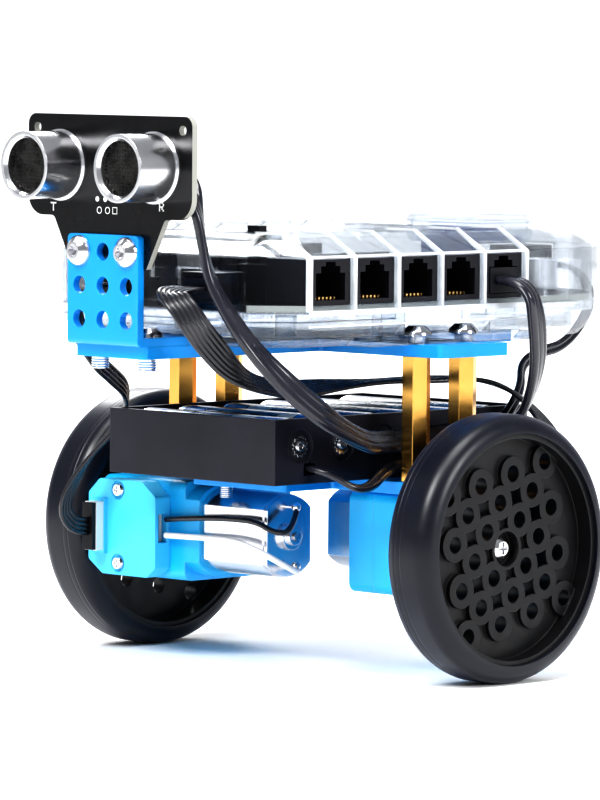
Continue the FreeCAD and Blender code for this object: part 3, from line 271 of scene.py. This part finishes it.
def well_metal_and_painted_shade():
    """What lies behind the screens: dim metal, brighter to one side, with the shade of the can's depth
    painted in as a near-black disc just behind each screen.
    """
    shade = Shader("well_metal_and_painted_shade", (0.02, 0.02, 0.02), 0.25, 0.9)
    shade.vary(260, 0.3, 4.0, (1, 1, 0.3)).rough(300, 0.2, 0.34)
    return shade.material


def black_plastic(name="black_plastic", tint=NIGHT, low=0.38, high=0.55):
    shade = Shader(name, tint, 0.45, inputs={"Specular IOR Level": 0.32})
    shade.soft_edges(0.0004)
    # Painted highlight: the edges get a grey three times the tint, as if catching light.
    shade.vary(80, 0.85, 1.2).paint_edge_light(tuple(c * 3 for c in tint), 0.0005)
    shade.rough(260, low, high).grain(1700, 0.14, 0.00005)
    return shade.material


def tray_plastic():
    return black_plastic("tray_plastic", (0.012, 0.012, 0.019), 0.30, 0.44)


def rubber():
    """Smooth moulded rubber with a faint violet sheen and two moulding lines near its inner edge."""
    shade = Shader("smooth_rubber", (0.005, 0.006, 0.011), 0.3,
                   inputs={"Specular IOR Level": 0.4, "Sheen Weight": 0.12, "Sheen Roughness": 0.4})
    shade.main.inputs["Sheen Tint"].default_value = (0.55, 0.55, 0.85, 1)
    shade.vary(35, 0.85, 1.25).rough(120, 0.28, 0.4)
    side = shade.math("ABSOLUTE", shade.axis("X"))
    for offset, depth in ((0.0562, 0.6), (0.0578, 0.35)):
        near = shade.math("ABSOLUTE", shade.math("SUBTRACT", side, offset))
        shade.bump(shade.ramp(near, 0, 1, 0.00012, 0.00035), depth, 0.00018)
    return shade.material


def rim_plastic():
    shade = Shader("rim_plastic", (0.007, 0.007, 0.008), 0.42, inputs={"Specular IOR Level": 0.35})
    shade.soft_edges(0.0004)
    # Painted highlight: the edges get a lighter grey, as if catching light.
    shade.vary(90, 0.8, 1.25).paint_edge_light((0.045, 0.045, 0.05), 0.0004)
    shade.rough(300, 0.34, 0.5).grain(1600, 0.15, 0.00005)
    return shade.material


def see_through(shade, share, tint=(0.90, 0.92, 0.94)):
    """Let light pass straight through, fully in shadow and by the given share for the eye."""
    clear = shade.node("BsdfTransparent")
    clear.inputs["Color"].default_value = (*tint, 1)
    path = shade.node("LightPath")
    blocked = shade.math("MAXIMUM", path.outputs["Is Shadow Ray"], path.outputs["Is Diffuse Ray"])
    both = shade.node("MixShader")
    shade.link(shade.math("MAXIMUM", blocked, share), both.inputs[0])
    shade.link(shade.main.outputs[0], both.inputs[1])
    shade.link(clear.outputs[0], both.inputs[2])
    shade.link(both.outputs[0], shade.output.inputs["Surface"])
    return shade.material


def clear_plastic():
    """Clear moulded plastic: mostly see-through, with bright edges and sharp reflections."""
    shade = Shader("clear_plastic", (0.93, 0.95, 0.98), 0.03,
                   inputs={"Transmission Weight": 1.0, "IOR": 1.25})
    shade.soft_edges(0.0009)
    # Painted shade: the edges get a dark grey colour and let less light through, standing in for the dark
    # lines that refraction draws in clear plastic.
    shade.paint_edge_light((0.22, 0.24, 0.27), 0.0010)
    shade.rough(140, 0.005, 0.03)
    return see_through(shade, shade.ramp(shade.edge, 0.66, 0.12))


def painted_glint_edge():
    """Edges and ribs of the clear case, painted white as a painted highlight for the light that glints in the
    plastic there.
    """
    shade = Shader("painted_glint_edge", (0.90, 0.91, 0.93), 0.12, inputs={"Specular IOR Level": 0.7})
    shade.soft_edges(0.0003)
    shade.vary(180, 0.75, 1.1).rough(200, 0.08, 0.2)
    return see_through(shade, 0.42)


def circuit_black():
    """A black board: faint tracks under its varnish."""
    shade = Shader("circuit_black", (0.006, 0.006, 0.007), 0.24,
                   inputs={"Coat Weight": 0.1, "Coat Roughness": 0.12, "Specular IOR Level": 0.3})
    cells = shade.node("TexVoronoi", Scale=420.0)
    cells.distance = "CHEBYCHEV"
    shade.link(shade.place, cells.inputs["Vector"])
    tracks = shade.ramp(cells.outputs["Distance"], 1, 0, 0.32, 0.42)
    varnish = shade.mix(tracks, (0.0025, 0.0025, 0.003), (0.004, 0.004, 0.005))
    faces = shade.node("NewGeometry")
    split = shade.node("SeparateXYZ")
    shade.link(faces.outputs["True Normal"], split.inputs["Vector"])
    flat = shade.math("MAXIMUM", shade.math("ABSOLUTE", split.outputs["Y"]),
                      shade.math("ABSOLUTE", split.outputs["Z"]))
    edge = shade.ramp(shade.math("ABSOLUTE", split.outputs["X"]), 0, 1, 0.3, 0.5)
    edge = shade.math("MULTIPLY", edge, shade.ramp(flat, 1, 0, 0.9, 0.98))
    shade.link(shade.mix(edge, varnish, (0.34, 0.34, 0.31)), shade.color)
    shade.rough(60, 0.2, 0.3).bump(tracks, 0.06, 0.00002)
    return shade.material


def gold():
    shade = Shader("contact_gold", (0.90, 0.62, 0.25), 0.25, 1.0)
    shade.vary(500, 0.85, 1.1).rough(900, 0.18, 0.32)
    return shade.material


def white_plastic():
    shade = Shader("white_plastic", (0.80, 0.80, 0.78), 0.42)
    shade.soft_edges(0.0003)
    shade.vary(90, 0.92, 1.03).rough(260, 0.34, 0.5).grain(1500, 0.1, 0.00004)
    return shade.material


def cable_sheath(name, tint, low=0.16, high=0.30):
    shade = Shader(name, tint, 0.2, inputs={"Coat Weight": 0.25, "Coat Roughness": 0.1})
    shade.vary(60, 0.85, 1.2).rough(160, low, high)
    return shade.material


def cell_sleeve():
    """Printed cell sleeves: black with a blue stripe and a cream band, over a bright metal end."""
    night = (0.012, 0.016, 0.03)
    shade = Shader("cell_sleeve", night, 0.2, inputs={"Coat Weight": 0.5, "Coat Roughness": 0.08})
    along = shade.axis("X")
    reach = shade.math("ABSOLUTE", along)
    wave = shade.ramp(shade.noise(150, 2.0, (0.6, 1, 1)), 0, 1, 0.49, 0.52)
    blue = shade.mix(shade.ramp(reach, 0, 1, 0.0152, 0.0155), night, (0.02, 0.13, 0.42))
    band = shade.math("MULTIPLY", shade.ramp(reach, 0, 1, 0.0070, 0.0073),
                      shade.ramp(reach, 1, 0, 0.0148, 0.0151))
    wrap = shade.mix(shade.math("MULTIPLY", band, wave), blue, (0.70, 0.69, 0.60))
    end = shade.ramp(reach, 0, 1, 0.0226, 0.0228)
    shade.link(shade.mix(end, wrap, (0.70, 0.70, 0.70)), shade.color)
    shade.link(end, shade.main.inputs["Metallic"])
    shade.rough(300, 0.14, 0.26)
    return shade.material


def lamp_white():
    shade = Shader("lamp_white", (0.82, 0.82, 0.76), 0.35)
    shade.vary(400, 0.8, 1.05).rough(300, 0.28, 0.42)
    return shade.material


def radio_blue():
    shade = Shader("radio_blue", (0.02, 0.06, 0.20), 0.3, inputs={"Coat Weight": 0.3})
    shade.vary(200, 0.8, 1.2).rough(400, 0.25, 0.4)
    return shade.material


FINISHES = {
    anodised_blue: ["upper_plate", "lower_plate", "sensor_bracket"],
    brass: ["standoffs"],
    bright_steel: ["button_screws", "small_screws", "sensor_nuts", "contact_rivets", "wheel_screw_left",
                   "wheel_screw_right", "usb_port"],
    brushed_can: ["sensor_eyes", "motor_cans", "motor_caps", "board_cans"],
    ground_steel: ["gear_pins", "rotor_left", "rotor_right", "output_shaft_left", "output_shaft_right"],
    tray_plastic: ["battery_tray"],
    black_plastic: ["sensor_socket", "port_banks", "power_jack", "switch_bodies", "power_slider",
                    "sensor_cable_plugs", "motor_cable_plugs", "power_plug", "board_chips"],
    rubber: ["tyre_left", "tyre_right"],
    rim_plastic: ["rim_left", "rim_right"],
    moulded_cyan: ["gear_housing_left", "gear_housing_right", "motor_mounts"],
    moulded_pale_cyan: ["encoder_covers"],
    clear_plastic: ["case_bottom", "case_top"],
    circuit_black: ["sensor_board", "main_board"],
    white_plastic: ["encoder_boards", "gear_one_left", "gear_one_right", "gear_two_left",
                    "gear_two_right", "reset_button"],
    cell_sleeve: ["cells"],
    lamp_white: ["light_ring"],
    radio_blue: ["radio_module"],
}


def finish_nodes():
    """Give every CAD node its material and smooth its round faces."""
    for build, names in FINISHES.items():
        material = build()
        for name in names:
            node = NODES[name]
            node.data.materials.clear()
            node.data.materials.append(material)
            smooth(node)


def smooth(thing, angle=32):
    """Round faces shade smoothly and edges sharper than the angle stay crisp."""
    if thing.type != "MESH":
        return
    modifier = thing.modifiers.new("weld", "WELD")
    modifier.merge_threshold = 1e-6
    for polygon in thing.data.polygons:
        polygon.use_smooth = True
    split = thing.modifiers.new("crisp", "EDGE_SPLIT")
    split.split_angle = math.radians(angle)


# ------------------------------------------------------------------ meshes and curves

def piece(name, mesh, body, material):
    """A mesh object that rides on a body with a finish."""
    thing = bpy.data.objects.new(name, mesh)
    bpy.context.scene.collection.objects.link(thing)
    thing.data.materials.append(material)
    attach(thing, body)
    return thing


def spline_line(name, points):
    """A NURBS spline through the route's control points, as a curve's data."""
    data = bpy.data.curves.new(name, "CURVE")
    data.dimensions = "3D"
    data.resolution_u = 12
    spline = data.splines.new("NURBS")
    spline.points.add(len(points) - 1)
    for spot, place in zip(spline.points, points):
        spot.co = (*(Vector(place) * MM), 1)
    spline.order_u = 3
    spline.use_endpoint_u = True
    return data


def sampled(name, points):
    """Points along the route's spline."""
    data = spline_line(name + "_line", points)
    carrier = bpy.data.objects.new(name + "_line", data)
    bpy.context.scene.collection.objects.link(carrier)
    depsgraph = bpy.context.evaluated_depsgraph_get()
    mesh = bpy.data.meshes.new_from_object(carrier.evaluated_get(depsgraph))
    line = [vertex.co.copy() for vertex in mesh.vertices]
    bpy.data.objects.remove(carrier)
    return line


def length_of(line):
    return sum((b - a).length for a, b in zip(line, line[1:]))


def swept(name, line, section, facing):
    """A tube with a shaped section along a line. facing gives the direction of the flat side."""
    mesh = bpy.data.meshes.new(name)
    shape = bmesh.new()
    rings = []
    total = length_of(line)
    done = 0.0
    for i, spot in enumerate(line):
        if i:
            done += (spot - line[i - 1]).length
        ahead = line[min(i + 1, len(line) - 1)] - line[max(i - 1, 0)]
        ahead.normalize()
        out = facing(done / total)
        out = (out - ahead * out.dot(ahead)).normalized()
        side = ahead.cross(out)
        rings.append([shape.verts.new(spot + side * (u * MM) + out * (v * MM)) for u, v in section])
    count = len(section)
    for first, second in zip(rings, rings[1:]):
        for k in range(count):
            shape.faces.new((first[k], first[(k + 1) % count], second[(k + 1) % count], second[k]))
    shape.faces.new(list(reversed(rings[0])))
    shape.faces.new(rings[-1])
    for face in shape.faces:
        face.smooth = True
    bmesh.ops.recalc_face_normals(shape, faces=shape.faces)
    shape.to_mesh(mesh)
    shape.free()
    return mesh


def lobes(count, pitch, radius, steps=7):
    """The outline of several wires side by side, each a bulge, as (across, thick) points."""
    outline = []
    start = -pitch * (count - 1) / 2
    for top in (1, -1):
        order = range(count) if top > 0 else range(count - 1, -1, -1)
        for k in order:
            centre = start + pitch * k
            for step in range(steps + 1):
                angle = math.pi * (1 - step / steps) if top > 0 else -math.pi * step / steps
                across = centre + radius * math.cos(angle)
                thick = max(0.12 * radius, abs(radius * math.sin(angle))) * top
                if abs(across - centre) <= pitch / 2 or (k == 0 and across < centre) or \
                        (k == count - 1 and across > centre):
                    outline.append((across, thick))
    return outline


def turning(stops):
    """A direction that turns smoothly between stops of (share of the length, direction)."""
    def facing(share):
        for (low, first), (high, second) in zip(stops, stops[1:]):
            if share <= high:
                blend = (share - low) / (high - low)
                blend = blend * blend * (3 - 2 * blend)
                return Vector(first).lerp(Vector(second), blend)
        return Vector(stops[-1][1])
    return facing


# ------------------------------------------------------------------ cables

SENSOR_ROUTE = [(9, -64.9, 121), (17, -64.9, 121), (22.5, -64.5, 114), (23.5, -63.5, 105),
                (25, -62.6, 97), (29, -61.5, 90), (36, -58.5, 79.5), (41, -45, 66.5), (37.5, -24, 57),
                (32.6, -10, 56), (32.6, 12, 56.6), (40, 27, 58), (47.6, 26.5, 71), (49.8, 24, 84),
                (49.8, 20.5, 94.4), (41.6, 20.5, 94.4)]
RIGHT_RIBBON_ROUTE = [(-46.4, -34.1, 32), (-46.4, -39, 32), (-46.8, -42.5, 38), (-43, -37.5, 49),
                      (-36, -33, 58), (-29.5, -36, 66), (-24, -47.5, 71), (-19, -58, 75.5),
                      (-17, -66.5, 85), (-15, -66.5, 93.4), (-15, -56.8, 93.4)]
LEFT_RIBBON_ROUTE = [(46.4, 34.1, 32), (46.4, 39.5, 32), (46.4, 43, 39), (42, 39, 57), (30.5, 32, 69.6),
                     (20, 14, 69.6), (20, -14, 69.6), (25, -38, 69), (27.5, -55, 73), (27.5, -66, 82),
                     (22.5, -69.5, 91), (15, -67, 93.4), (15, -56.8, 93.4)]
BATTERY_ROUTE = [(28.3, -32, 50.6), (33.5, -32, 50.6), (39, -24.5, 44.5), (36, -13, 50.8),
                 (33, 1, 51.1), (30.6, 15, 50.8), (30.4, 26, 54), (30.7, 34.5, 61), (28.8, 41, 66.9),
                 (22, 48, 71.8), (20.3, 56, 74.6), (20.8, 65.5, 76), (19.3, 76, 84), (12, 84, 90.5),
                 (6, 83, 95.6), (6, 72, 95.6)]
BLACK_LEAD_ROUTE = [(-26.8, -26.2, 34.5), (-16, -26.4, 35.6), (-4, -26.4, 36.2), (4, -25.6, 36),
                    (8.6, -24, 33.4), (10.4, -20, 33.6), (8.4, -16.4, 38.2)]
WHITE_LEAD_ROUTE = [(-26.8, -26.2, 30.6), (-14, -26.6, 31), (-2, -26.4, 31), (6, -26, 28.8),
                    (10.2, -23, 26), (11.4, -18.4, 23.6), (8.4, -16.2, 24)]


def cable(name, route, section, facing, material):
    """A flat cable: a swept section along the route's spline."""
    line = sampled(name, route)
    thing = piece("visual_" + name, swept(name, line, section, facing), "chassis", material)
    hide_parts(name)
    return thing


def round_lead(name, route, radius, material):
    """A thin round lead: a bevelled NURBS curve."""
    data = spline_line("visual_" + name, route)
    data.bevel_depth = radius * MM
    data.bevel_resolution = 5
    data.use_fill_caps = True
    length = length_of(sampled(name, route))
    thing = piece("visual_" + name, data, "chassis", material)
    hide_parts(name)


def half_turned(route):
    return [(-x, -y, z) for x, y, z in route]


def flat_section(width, thick, grooves):
    """A flat sheath with rounded edges and shallow grooves between its cores."""
    outline = []
    steps = 26
    for top in (1, -1):
        for k in range(steps + 1):
            across = -width / 2 + width * k / steps
            across *= top
            end = max(0.0, 1 - (2 * abs(across) / width) ** 6) ** 0.5
            dip = 1 - 0.13 * (0.5 + 0.5 * math.cos(2 * math.pi * across / width * grooves + math.pi)) ** 6
            outline.append((across, top * thick / 2 * end * dip))
    return [p for i, p in enumerate(outline) if i == 0 or math.dist(p, outline[i - 1]) > 0.01]


def cables():
    sheath = cable_sheath("glossy_black_sheath", (0.016, 0.016, 0.024))
    wires = cable_sheath("black_wire", (0.014, 0.014, 0.019), 0.22, 0.36)
    white = cable_sheath("white_wire", (0.85, 0.85, 0.88), 0.25, 0.38)
    cable("sensor_cable", SENSOR_ROUTE, flat_section(6.4, 2.3, 3),
          turning([(0, (0, -1, 0)), (0.13, (0.6, 0.6, 0.5)), (0.26, (0.8, 0.2, 0.4)), (0.4, (0.8, -0.6, 0.5)),
                   (0.5, (1, 0, 0.6)), (0.62, (1, 0, 0.8)), (0.75, (1, 0.8, -0.2)), (0.9, (1, 0.2, 0)),
                   (1, (0, 0, 1))]),
          sheath)
    cable("left_motor_cable", LEFT_RIBBON_ROUTE, lobes(6, 1.12, 0.6),
          turning([(0, (1, 0, 0)), (0.12, (1, 0.3, 0)), (0.3, (0.3, 0.5, 1)), (0.45, (0, 0, 1)),
                   (0.7, (0.7, 0, 0.9)), (0.85, (1, -0.7, 0.2)), (1, (0, 0, 1))]),
          wires)
    cable("right_motor_cable", RIGHT_RIBBON_ROUTE, lobes(4, 1.1, 0.6),
          turning([(0, (-1, 0, 0)), (0.3, (-0.7, -0.7, 0)), (0.6, (-0.5, -0.8, 0.3)), (1, (0, 0, 1))]),
          wires)
    cable("battery_lead", BATTERY_ROUTE, lobes(2, 1.45, 0.78),
          turning([(0, (0, 0, 1)), (0.3, (1, 0, 0.5)), (0.7, (1, 0.3, 0)), (1, (0, 0, 1))]),
          sheath)
    for side, turn in (("right", list), ("left", half_turned)):
        round_lead("black_lead_" + side, turn(BLACK_LEAD_ROUTE), 0.7, wires)
        round_lead("white_lead_" + side, turn(WHITE_LEAD_ROUTE), 0.75, white)


# ------------------------------------------------------------------ details

def mesh_of(name, shape):
    """A mesh made from a bmesh, which is freed."""
    mesh = bpy.data.meshes.new(name)
    bmesh.ops.recalc_face_normals(shape, faces=shape.faces)
    shape.to_mesh(mesh)
    shape.free()
    return mesh


def add_block(shape, low, high):
    """A box in a bmesh between two corners in millimetres."""
    spots = [shape.verts.new((Vector((x, y, z)) * MM)) for x in (low[0], high[0])
             for y in (low[1], high[1]) for z in (low[2], high[2])]
    for face in ((0, 1, 3, 2), (4, 6, 7, 5), (0, 4, 5, 1), (2, 3, 7, 6), (0, 2, 6, 4), (1, 5, 7, 3)):
        shape.faces.new([spots[k] for k in face])


BOARD_FACE = -71.0
INK = 0.05


def marks():
    """White letters, dots and outlines printed on the sensor's board."""
    white = white_plastic()
    shape = bmesh.new()

    def bar(x0, x1, z0, z1):
        add_block(shape, (x0, BOARD_FACE - INK, z0), (x1, BOARD_FACE, z1))

    bar(-20.2, -18.2, 112.7, 113.1)
    bar(-19.4, -19.0, 111.0, 112.7)
    bar(17.0, 17.35, 111.9, 114.0)
    bar(17.35, 18.3, 113.65, 114.0)
    bar(17.35, 18.3, 112.75, 113.1)
    bar(18.3, 18.65, 113.1, 113.65)
    bar(17.8, 18.2, 112.3, 112.75)
    bar(18.2, 18.65, 111.9, 112.3)
    for x, z, outer, inner, corners in ((-4, 114.2, 0.62, 0, 16), (-1.3, 114.2, 0.62, 0, 16),
                                        (1.5, 114.2, 0.62, 0, 16), (-3.3, 111.6, 0.85, 0.65, 20),
                                        (-0.5, 111.6, 0.85, 0.65, 20), (2.0, 111.6, 1.15, 0.9, 4)):
        add_ring(shape, x, z, BOARD_FACE, outer, inner, corners)
    piece("sensor_marks", mesh_of("sensor_marks", shape), "chassis", white)


def add_ring(shape, x, z, face, outer, inner, corners):
    """A thin disc, or a ring when it has an inner radius, on a face that looks to the front."""
    def circle(radius, y):
        return [shape.verts.new(Vector((x + radius * math.cos(a), y, z + radius * math.sin(a))) * MM)
                for a in (2 * math.pi * (k + 0.5) / corners for k in range(corners))]

    rims = [circle(outer, face), circle(outer, face - INK)]
    if inner:
        rims += [circle(inner, face - INK), circle(inner, face)]
        rims.append(rims[0])
    else:
        shape.faces.new(rims[0])
        shape.faces.new(rims[1])
    for first, second in zip(rims, rims[1:]):
        for k in range(corners):
            shape.faces.new((first[k], first[(k + 1) % corners], second[(k + 1) % corners], second[k]))


def screens():
    """A woven screen of real threads in each eye, over a dark well of dim metal and painted shade."""
    threads = woven_mesh()
    well = well_metal_and_painted_shade()
    box = [Vector(corner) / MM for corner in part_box("eye_meshes")]
    pitch = 0.62
    reach = 6.35
    wave = 0.17
    middle_y = (box[0].y + box[1].y) / 2
    middle_z = (box[0].z + box[1].z) / 2
    middle_x = (box[1].x - box[0].x) / 2 - reach - 0.05
    for name, side in (("left", 1), ("right", -1)):
        data = bpy.data.curves.new("screen_" + name, "CURVE")
        data.dimensions = "3D"
        data.bevel_depth = 0.155 * MM
        data.bevel_resolution = 1
        rows = int(reach / pitch)
        for way in (0, 1):
            for row in range(-rows, rows + 1):
                offset = row * pitch
                half = math.sqrt(reach ** 2 - offset ** 2)
                steps = max(2, int(4 * half / pitch))
                spline = data.splines.new("POLY")
                spline.points.add(steps)
                for k, spot in enumerate(spline.points):
                    along = -half + 2 * half * k / steps
                    lift = wave * math.cos(math.pi * (along / pitch + row + way))
                    u, v = (along, offset) if way else (offset, along)
                    x = side * middle_x + (u - v) * math.sqrt(0.5)
                    z = middle_z + (u + v) * math.sqrt(0.5)
                    spot.co = (x * MM, (middle_y + lift) * MM, z * MM, 1)
        screen = piece("screen_" + name, data, "chassis", threads)
        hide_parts("eye_meshes")
        shape = bmesh.new()
        # Painted shade: a near-black disc right behind the screen stands for the dark depth of the can.
        add_ring(shape, side * middle_x, middle_z, box[1].y, reach, 0, 48)
        piece("screen_well_" + name, mesh_of("screen_well_" + name, shape), "chassis", well)


PORT_PITCH = 14.8
FIRST_PORT = -38.7


def case_ribs():
    """Raised ribs between the ports and rails along the case's long sides."""
    # The ribs and rails carry a painted highlight: a white finish for the glint of light in clear plastic.
    glint_white = painted_glint_edge()
    shape = bmesh.new()
    side_x = 42
    for side in (-1, 1):
        for k in range(6):
            y = FIRST_PORT + PORT_PITCH * (k - 0.5)
            profile = [(side_x - 1, 88.6), (side_x + 0.5, 88.6), (side_x + 0.5, 101.5), (33, 106.9),
                       (24, 106.9), (24, 106.3), (32.6, 106.3), (side_x - 1, 101)]
            ends = []
            for shift in (-0.45, 0.45):
                ends.append([shape.verts.new(Vector((side * x, y + shift, z)) * MM) for x, z in profile])
            for end in ends:
                shape.faces.new(end)
            count = len(profile)
            for i in range(count):
                j = (i + 1) % count
                shape.faces.new((ends[0][i], ends[0][j], ends[1][j], ends[1][i]))
        first = FIRST_PORT - PORT_PITCH / 2
        last = FIRST_PORT + PORT_PITCH * 4.5
        for low, high, out in ((87.6, 88.9, 0.5), (84.9, 85.4, 0.25), (101.1, 101.7, 0.3)):
            near, far = sorted((side * (side_x - 0.4), side * (side_x + out)))
            add_block(shape, (near, first, low), (far, last, high))
    piece("case_ribs", mesh_of("case_ribs", shape), "chassis", glint_white)


def port_contacts():
    """Gilt spring contacts in the mouths of the side ports."""
    metal = gold()
    shape = bmesh.new()
    for side in (-1, 1):
        for row in range(5):
            if side > 0 and row == 4:
                continue
            for k in range(6):
                y = FIRST_PORT + PORT_PITCH * row + 1.27 * (k - 2.5)
                near, far = sorted((side * 32, side * 39.5))
                add_block(shape, (near, y - 0.25, 91.25), (far, y + 0.25, 91.9))
    piece("port_contacts", mesh_of("port_contacts", shape), "chassis", metal)


def thread_mesh(name, spots, radius, low, high, pitch):
    """Threaded screw ends: a stack of sharp ridges round each upright axis."""
    shape = bmesh.new()
    around = 24
    ridge = 0.2
    valley = -0.02
    tip = -0.5
    for x, y in spots:
        rings = []
        levels = int((high - low) / (pitch / 2))
        for level in range(levels + 1):
            step = tip if level == 0 else ridge if level % 2 else valley
            reach = radius + step
            z = low + level * pitch / 2
            rings.append([shape.verts.new(Vector((x + reach * math.cos(a), y + reach * math.sin(a), z)) * MM)
                          for a in (2 * math.pi * k / around for k in range(around))])
        for first, second in zip(rings, rings[1:]):
            for k in range(around):
                j = (k + 1) % around
                shape.faces.new((first[k], first[j], second[j], second[k]))
        shape.faces.new(rings[0])
        shape.faces.new(rings[-1])
    return mesh_of(name, shape)


def threads():
    """Screw ends that show under the plates."""
    steel = bright_steel()
    mesh = thread_mesh("bracket_screw_threads", [(-8, -66), (8, -66)], 2.0, 73.95, 76.9, 0.6)
    piece("bracket_screw_threads", mesh, "chassis", steel)
    mesh = thread_mesh("tray_screw_threads", [(-8, -24), (8, 24)], 1.5, 40.9, 43.9, 0.5)
    piece("tray_screw_threads", mesh, "chassis", steel)


# ------------------------------------------------------------------ studio

def make_studio():
    """A pale seamless floor, a bright surround and soft lights."""
    sweep = bmesh.new()
    profile = [(-3, 0)] + [(2.2, 0)] + [(2.2 + 0.8 * math.sin(a), 0.8 - 0.8 * math.cos(a))
                                        for a in (k * math.pi / 24 for k in range(1, 13))] + [(3.0, 3.0)]
    toward = Vector((-1, 1, 0)).normalized()
    across = Vector((1, 1, 0)).normalized()
    rows = []
    for depth, height in profile:
        base = toward * depth + Vector((0, 0, height))
        rows.append([sweep.verts.new(base + across * w) for w in (-4, 4)])
    for first, second in zip(rows, rows[1:]):
        sweep.faces.new((first[0], first[1], second[1], second[0]))
    mesh = bpy.data.meshes.new("studio_floor")
    sweep.to_mesh(mesh)
    sweep.free()
    for polygon in mesh.polygons:
        polygon.use_smooth = True
    floor = bpy.data.objects.new("studio_floor", mesh)
    bpy.context.scene.collection.objects.link(floor)
    paper = Shader("studio_paper", (0.93, 0.93, 0.93), 0.8)
    paper.vary(6, 0.99, 1.01)
    floor.data.materials.append(paper.material)

    world = bpy.data.worlds.new("studio_world")
    bpy.context.scene.world = world
    world.use_nodes = True
    tree = world.node_tree
    seen = tree.nodes["Background"]
    seen.inputs["Color"].default_value = (1, 1, 1, 1)
    seen.inputs["Strength"].default_value = 1.0
    room = tree.nodes.new("ShaderNodeBackground")
    room.inputs["Color"].default_value = (0.93, 0.96, 1.0, 1)
    room.inputs["Strength"].default_value = 0.3
    path = tree.nodes.new("ShaderNodeLightPath")
    both = tree.nodes.new("ShaderNodeMixShader")
    tree.links.new(path.outputs["Is Camera Ray"], both.inputs[0])
    tree.links.new(room.outputs[0], both.inputs[1])
    tree.links.new(seen.outputs[0], both.inputs[2])
    tree.links.new(both.outputs[0], tree.nodes["World Output"].inputs["Surface"])

    for name, place, size, power in (("key", (0.1, -1.6, 1.7), 0.9, 46),
                                     ("side", (1.9, 0.4, 0.9), 0.7, 22),
                                     ("rim", (-1.5, 1.2, 1.5), 0.9, 26),
                                     ("top", (0.3, -0.2, 2.2), 1.2, 30)):
        data = bpy.data.lights.new(name, "AREA")
        data.size = size
        data.energy = power
        lamp = bpy.data.objects.new(name, data)
        lamp.location = place
        lamp.rotation_euler = (Vector((0, 0, 0.07)) - Vector(place)).to_track_quat("-Z", "Y").to_euler()
        bpy.context.scene.collection.objects.link(lamp)
    bpy.context.scene.view_settings.view_transform = "Standard"
    bpy.context.scene.view_settings.look = "High Contrast"


make_camera()
cables()
finish_nodes()
marks()
screens()
case_ribs()
port_contacts()
threads()
make_studio()
